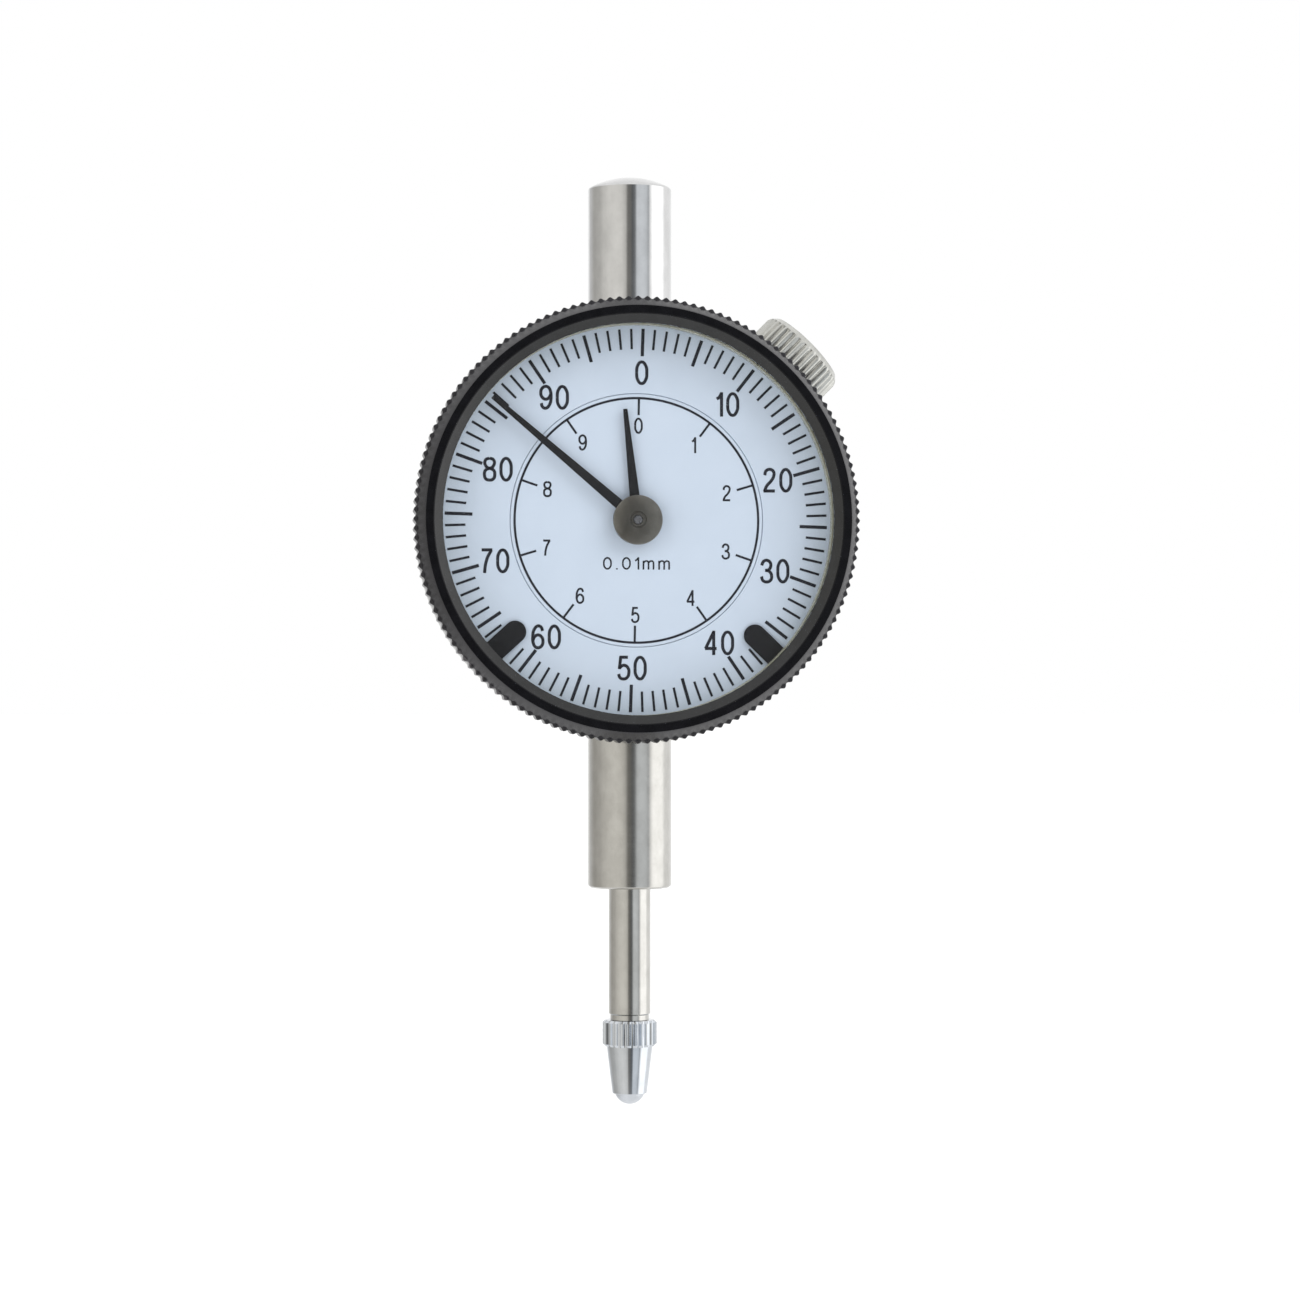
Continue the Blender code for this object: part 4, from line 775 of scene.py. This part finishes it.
def make_contact_point():
    """Threaded stud, knurled collar with chamfered ends, cone, and the ball in its seat."""
    top = SPINDLE_LOW.z - 0.03
    low, stud_top = POINT_LOW.z, POINT_HIGH.z
    collar_low = top - 2.5
    collar_r, depth, teeth, steps = 2.6, 0.24, 24, 6
    ball_mid = (BALL_LOW.z + BALL_HIGH.z) / 2
    ball_r = BALL_HIGH.z - ball_mid
    socket = ball_r + 0.05
    profile = [(0, stud_top), (1.0, stud_top), (1.2, stud_top - 0.2), (1.2, top), (collar_r - 0.3, top),
               (collar_r, top - 0.22), (collar_r, collar_low + 0.22), (collar_r - 0.25, collar_low),
               (2.2, collar_low), (2.2, collar_low - 0.1), (1.66, low + 0.06), (1.6, low)]
    start = acos((ball_mid - low) / socket)
    for i in range(6):
        a = start + (pi - start) * i / 6
        profile.append((socket * sin(a), ball_mid - socket * cos(a)))
    profile.append((0, ball_mid + socket))
    point = turn('contact_tip', profile, teeth * steps)
    start_edit()
    slice_angle = 2 * pi / (teeth * steps)
    for phase, share in enumerate((1, 0.85, 0.1, 0, 0.1, 0.85)):
        if share == 0:
            continue
        pick(lambda v: v.co.xy.length > collar_r - 0.05
             and round(atan2(v.co.y, v.co.x) / slice_angle) % steps == phase)
        scale = (collar_r - depth * share) / collar_r
        bpy.ops.transform.resize(value=(scale, scale, 1), center_override=(0, 0, collar_low))
    bpy.ops.object.mode_set(mode='OBJECT')
    settle(point, UPRIGHT, 'plunger', LOOKS['point'], 'contact_point', smooth=30)

    ball = [(0, ball_mid - ball_r)]
    ball += [(ball_r * sin(pi * i / 20), ball_mid - ball_r * cos(pi * i / 20)) for i in range(1, 20)]
    ball.append((0, ball_mid + ball_r))
    settle(turn('tip_ball', ball, 48), UPRIGHT, 'plunger', LOOKS['point'], 'contact_ball')


# ---------------------------------------------------------------- case, cover, clamp

def make_case():
    """Cup with the neck for the bezel, a web behind the dial, the two bores and the clamp pocket."""
    hole = 0.85
    neck_inner, inner = NECK_R - 1.6, CASE_R - 1.6
    seat = DIAL_BACK - 0.03
    profile = [(hole, seat), (11.6, seat), (11.6, 6.4), (NECK_R - 0.1, 6.4), (NECK_R, 6.3), (NECK_R, 6.0),
               (NECK_R - 0.3, 6.0), (NECK_R - 0.3, 5.4), (NECK_R, 5.4), (NECK_R, 3.9), (CASE_R - 0.15, 3.9),
               (CASE_R, 3.75), (CASE_R, CASE_BACK), (inner, CASE_BACK), (inner, 3.1), (neck_inner, 3.1),
               (neck_inner, 5.2), (hole, 5.2)]
    case = turn('case_cup', profile, 180)
    half = 4.9
    for side, reach in ((-1, DIAL_Z - STEM_HIGH.z), (1, CAP_LOW.z - DIAL_Z - 2.8)):
        for outer, front in ((CASE_R - 0.8, 3.6), (NECK_R - 0.8, half)):
            low, high = sorted((side * reach, side * outer))
            cut_with(case, slab('boss', (-half, low, -half), (half, high, front)), 'UNION')
    for radius, low, high in ((3.53, STEM_LOW.z, STEM_HIGH.z + 1),
                              (STEM_R + 0.03, STEM_LOW.z, STEM_HIGH.z - 2.77),
                              (2.93, CAP_LOW.z - 4, CAP_LOW.z + 4),
                              (STEM_R + 0.03, CAP_LOW.z - 0.03, CAP_HIGH.z)):
        bore = bar('bore', radius, low, high, sides=64)
        bore.matrix_world = FACING.inverted() @ bore.matrix_world
        cut_with(case, bore)
    for angle in SCREW_ANGLES:
        x, y = SCREW_CIRCLE * cos(radians(angle)), SCREW_CIRCLE * sin(radians(angle))
        cut_with(case, bar('column', 1.8, CASE_BACK + 1.2, -1, x, y), 'UNION')
        cut_with(case, bar('screw_hole', 0.75, CASE_BACK - 1, -3, x, y, 24))
    skirt = SKIRT_BORE + SKIRT_WALL
    boss = bar('clamp_boss', 2.4, CASE_R - 4.9, CASE_R - 0.8)
    pocket = slab('clamp_pocket', (-2.3, -4.9, skirt + 0.03), (2.3, 2.6, CASE_R + 2))
    thread = bar('clamp_thread', 1.03, CASE_R - 6, CASE_R + 2, sides=32)
    for tool, operation in ((boss, 'UNION'), (pocket, 'DIFFERENCE'), (thread, 'DIFFERENCE')):
        tool.matrix_world = FACING.inverted() @ CLAMP
        cut_with(case, tool, operation)
    settle(case, FACING, 'case', LOOKS['case'], 'case_body', smooth=30)


def make_cover():
    """Back cover with a lug, countersunk for its four screws."""
    spigot = CASE_R - 1.65
    face = CASE_BACK - 0.03
    profile = [(0, COVER_BACK), (CASE_R - 0.5, COVER_BACK), (CASE_R - 0.15, COVER_BACK + 0.15),
               (CASE_R, COVER_BACK + 0.5), (CASE_R, face), (spigot, face), (spigot, face + 0.73),
               (spigot - 0.8, face + 0.73), (spigot - 0.8, face), (0, face)]
    cover = turn('cover_plate', profile, 180)
    half, reach, thick, hole_radius = 6.0, 6.8, 2.5, 3.25
    eye_y = COVER_BACK - reach
    lug = bar('lug', half, -thick, thick, sides=96)
    crosswise = Matrix.Translation((0, 0, eye_y)) @ Matrix.Rotation(pi / 2, 4, 'Y')
    lug.matrix_world = crosswise
    deselect()
    lug.select_set(True)
    bpy.ops.object.transform_apply()
    start_edit()
    pick(lambda v: v.co.z > eye_y + 0.01)
    bpy.ops.transform.resize(value=(1, 1, 0), center_override=(0, 0, eye_y))
    bpy.ops.transform.translate(value=(0, 0, reach + 0.5))
    tidy_mesh()
    bpy.ops.object.mode_set(mode='OBJECT')
    soften(lug, 0.25, 40, 3)
    hole = bar('lug_hole', hole_radius, -thick - 1, thick + 1, sides=64)
    hole.matrix_world = crosswise
    cut_with(lug, hole)
    cut_with(cover, lug, 'UNION')
    for angle in SCREW_ANGLES:
        x, y = SCREW_CIRCLE * cos(radians(angle)), SCREW_CIRCLE * sin(radians(angle))
        cut_with(cover, bar('shank_room', 0.8, COVER_BACK - 1, CASE_BACK + 1, x, y, 32))
        cut_with(cover, bar('head_room', 1.4, COVER_BACK - 1, COVER_BACK + 0.6, x, y))
        cut_with(cover, bar('column_room', 2.0, face, CASE_BACK + 2, x, y))
    settle(cover, FACING, 'case', LOOKS['cover'], 'back_cover', smooth=30)


def make_cover_screws():
    """Four slotted screws with low heads, each stopped at its own angle."""
    for i, angle in enumerate(SCREW_ANGLES, 1):
        low = COVER_BACK + 0.05
        x, y = SCREW_CIRCLE * cos(radians(angle)), SCREW_CIRCLE * sin(radians(angle))
        screw = turn(f'cover_screw_{i}', [(0, low), (1.15, low), (1.3, low + 0.12), (1.3, low + 0.5),
                                          (0.7, low + 0.5), (0.7, low + 4.4), (0.6, low + 4.5),
                                          (0, low + 4.5)], 40)
        slot = slab('slot', (-2, -0.16, low - 1), (2, 0.16, low + 0.25))
        slot.matrix_world = Matrix.Rotation(radians(31 * i), 4, 'Z')
        cut_with(screw, slot)
        settle(screw, FACING @ Matrix.Translation((x, y, 0)), 'case', LOOKS['steel'], f'back_screw_{i}')


def make_knob():
    """Straight-knurled thumb screw with rounded ridges and a crowned end."""
    near, far, crown = 20.65, 24.2, 0.4
    radius, depth, teeth, steps = 4.5, 0.3, 36, 8
    shank_end = CASE_R - 4.2
    profile = [(0, shank_end), (0.9, shank_end), (1.0, shank_end + 0.1), (1.0, near), (radius - 0.5, near),
               (radius, near + 0.3), (radius, far - 0.75), (radius - 0.12, far - 0.45), (radius - 0.55, far),
               (3.2, far + 0.45 * crown), (2.0, far + 0.8 * crown), (0, far + crown)]
    knob = turn('thumb_knob', profile, teeth * steps)
    start_edit()
    step = 2 * pi / (teeth * steps)
    for phase in range(steps):
        sunk = depth * (0.5 - 0.5 * cos(2 * pi * phase / steps)) ** 1.3
        if sunk < 0.001:
            continue
        pick(lambda v: v.co.xy.length > radius - 0.1
             and round(atan2(v.co.y, v.co.x) / step) % steps == phase)
        scale = (radius - sunk) / radius
        bpy.ops.transform.resize(value=(scale, scale, 1), center_override=(0, 0, near))
    bpy.ops.object.mode_set(mode='OBJECT')
    settle(knob, CLAMP, 'clamp_knob', LOOKS['knob'], 'clamp_knob', smooth=40)


def make_shoe():
    """Block under the thumb screw, pressed on the bezel skirt."""
    low = SKIRT_BORE + SKIRT_WALL + 0.06
    shoe = slab('clamp_shoe_block', (-2.1, -5.1, low), (2.1, 2.4, 20.62))
    cut_with(shoe, bar('shoe_hole', 1.05, low - 1, 22, sides=32))
    soften(shoe, 0.12)
    settle(shoe, CLAMP, 'clamp_shoe', LOOKS['steel'], 'clamp_shoe')


# ---------------------------------------------------------------- pieces kept from the CAD

def finish_cad_nodes():
    """Better materials for the inner pieces whose CAD shape stays."""
    by_slot = {'brass': 'brass', 'bronze': 'bronze', 'tool_steel': 'steel', 'spring_steel': 'spring',
               'red_fibre': 'fibre', 'ground_steel': 'spindle', 'satin_case': 'case', 'chrome': 'point',
               'hand_black': 'hand', 'black_anodised': 'black', 'dial_white': 'dial',
               'ivory_plastic': 'ivory'}
    for part in frame['record']['subparts']:
        node = frame['nodes'].get(part['node'])
        look = by_slot.get(part['material_slot'])
        if node and look:
            for holder in node.material_slots:
                holder.material = LOOKS[look]


# ---------------------------------------------------------------- studio

def make_studio():
    """Pale floor, white backdrop, walls that light by angle, and two soft boxes."""
    deselect()
    bpy.ops.mesh.primitive_plane_add(size=30, location=(0, 0, cad_low[2] - 0.1))
    floor = bpy.context.active_object
    floor.name = 'floor'
    pale = bpy.data.materials.new('pale_floor')
    pale.use_nodes = True
    for socket, value in (('Base Color', (0.9, 0.9, 0.9, 1)), ('Roughness', 0.9),
                          ('Emission Color', (1, 1, 1, 1)), ('Emission Strength', 0.3)):
        pale.node_tree.nodes['Principled BSDF'].inputs[socket].default_value = value
    floor.data.materials.append(pale)
    floor.visible_glossy = False

    world = bpy.data.worlds.new('studio')
    bpy.context.scene.world = world
    world.use_nodes = True
    tree = world.node_tree
    place = tree.nodes.new('ShaderNodeTexCoord').outputs['Generated']
    split = tree.nodes.new('ShaderNodeSeparateXYZ')
    tree.links.new(place, split.inputs['Vector'])
    around = tree.nodes.new('ShaderNodeMath')
    around.operation = 'ARCTAN2'
    tree.links.new(split.outputs['X'], around.inputs[0])
    tree.links.new(split.outputs['Y'], around.inputs[1])
    share = tree.nodes.new('ShaderNodeMapRange')
    share.inputs['From Min'].default_value = -pi
    share.inputs['From Max'].default_value = pi
    tree.links.new(around.outputs[0], share.inputs['Value'])
    ramp = tree.nodes.new('ShaderNodeValToRGB')
    ramp.color_ramp.interpolation = 'EASE'
    elements = ramp.color_ramp.elements
    while len(elements) < len(WALLS):
        elements.new(0.5)
    for element, (angle, level) in zip(elements, WALLS):
        element.position = (angle + 180) / 360
        tint = WARM_SIDE if angle < WARM_END else COOL_SIDE if angle > COOL_START else (1, 1, 1)
        element.color = (*[level * part for part in tint], 1)
    tree.links.new(share.outputs['Result'], ramp.inputs['Fac'])
    back = tree.nodes['Background']
    steep = tree.nodes.new('ShaderNodeMath')
    steep.operation = 'ABSOLUTE'
    tree.links.new(split.outputs['Z'], steep.inputs[0])
    fade = tree.nodes.new('ShaderNodeMapRange')
    fade.inputs['From Min'].default_value = 0.3
    fade.inputs['From Max'].default_value = 0.75
    tree.links.new(steep.outputs[0], fade.inputs['Value'])
    room = mix_colours(tree, fade.outputs['Result'], ramp.outputs['Color'], (0.92, 0.92, 0.92, 1))
    seen = tree.nodes.new('ShaderNodeLightPath').outputs['Is Camera Ray']
    tree.links.new(mix_colours(tree, seen, room, (1, 1, 1, 1)), back.inputs['Color'])

    soft_box('key_box', (0.35, -0.32, 0.42), (0, 0, 0.028), 0.4, 1.6)
    soft_box('fill_box', (-0.45, -0.3, 0.2), (0, 0, 0.02), 0.4, 0.7)


# Light of the room by angle round the upright axis: 0 is away from the camera, +90 is to the right
WALLS = [(-180, 0.17), (-170, 0.19), (-163, 0.62), (-152, 0.76), (-137, 0.80), (-119, 0.76), (-100, 0.66),
         (-82, 0.52), (-60, 0.46), (-36, 0.62), (-16, 1.0), (24, 1.0), (46, 0.95), (71, 1.0), (84, 1.5),
         (118, 1.5), (126, 1.0), (131, 0.46), (139, 0.7), (150, 0.76), (164, 0.74), (171, 0.2), (177, 0.13)]
WARM_SIDE, COOL_SIDE = (1.02, 1.0, 0.95), (0.96, 1.0, 1.04)
WARM_END, COOL_START = -40, 128


def mix_colours(tree, factor, base, top):
    """Blends a linked colour towards a plain one."""
    blend = tree.nodes.new('ShaderNodeMix')
    blend.data_type = 'RGBA'
    tree.links.new(factor, blend.inputs['Factor'])
    tree.links.new(base, blend.inputs['A'])
    blend.inputs['B'].default_value = top
    return blend.outputs['Result']


def soft_box(name, at, aim, size, power):
    """A square lamp that lights the piece but does not show in its reflections."""
    light = bpy.data.lights.new(name, 'AREA')
    light.shape = 'SQUARE'
    light.size = size
    light.energy = power
    lamp = bpy.data.objects.new(name, light)
    lamp.location = at
    lamp.rotation_euler = (Vector(aim) - Vector(at)).to_track_quat('-Z', 'Y').to_euler()
    lamp.visible_glossy = False
    bpy.context.collection.objects.link(lamp)


def make_camera():
    """Camera a little left of and below the dial, aimed at the middle of the picture."""
    camera = bpy.data.cameras.new('camera')
    camera.lens = 92.58
    camera.clip_start = 0.01
    azimuth, elevation, distance = radians(-5.58), radians(-0.59), 321.7
    aim = Vector((1.97, 0, DIAL_Z - 12.11)) * MM
    eye = aim + distance * MM * Vector((sin(azimuth) * cos(elevation), -cos(azimuth) * cos(elevation),
                                        sin(elevation)))
    holder = bpy.data.objects.new('camera', camera)
    holder.location = eye
    holder.rotation_euler = (aim - eye).to_track_quat('-Z', 'Y').to_euler()
    bpy.context.collection.objects.link(holder)
    bpy.context.scene.camera = holder
    bpy.context.scene.view_settings.view_transform = 'Standard'


# ---------------------------------------------------------------- assembly

LOOKS = make_materials()
make_camera()
make_studio()
make_bezel()
make_window()
make_dials()
print_outer_scale()
print_inner_scale()
make_hand('long_pointer', 'main_hand', 17.8, MAIN_HAND_ANGLE, 1.3, 0.43, 1.0, 0.43, 'long_hand')
make_hand('short_pointer', 'counter_hand', 10.5, COUNTER_HAND_ANGLE, 1.5, 0.78, 1.0, 0.4, 'short_hand')
make_hub_cap()
make_marker('right', 134.1)
make_marker('left', 227.5)
make_stem()
make_cap()
make_spindle()
make_contact_point()
make_case()
make_cover()
make_cover_screws()
make_knob()
make_shoe()
finish_cad_nodes()
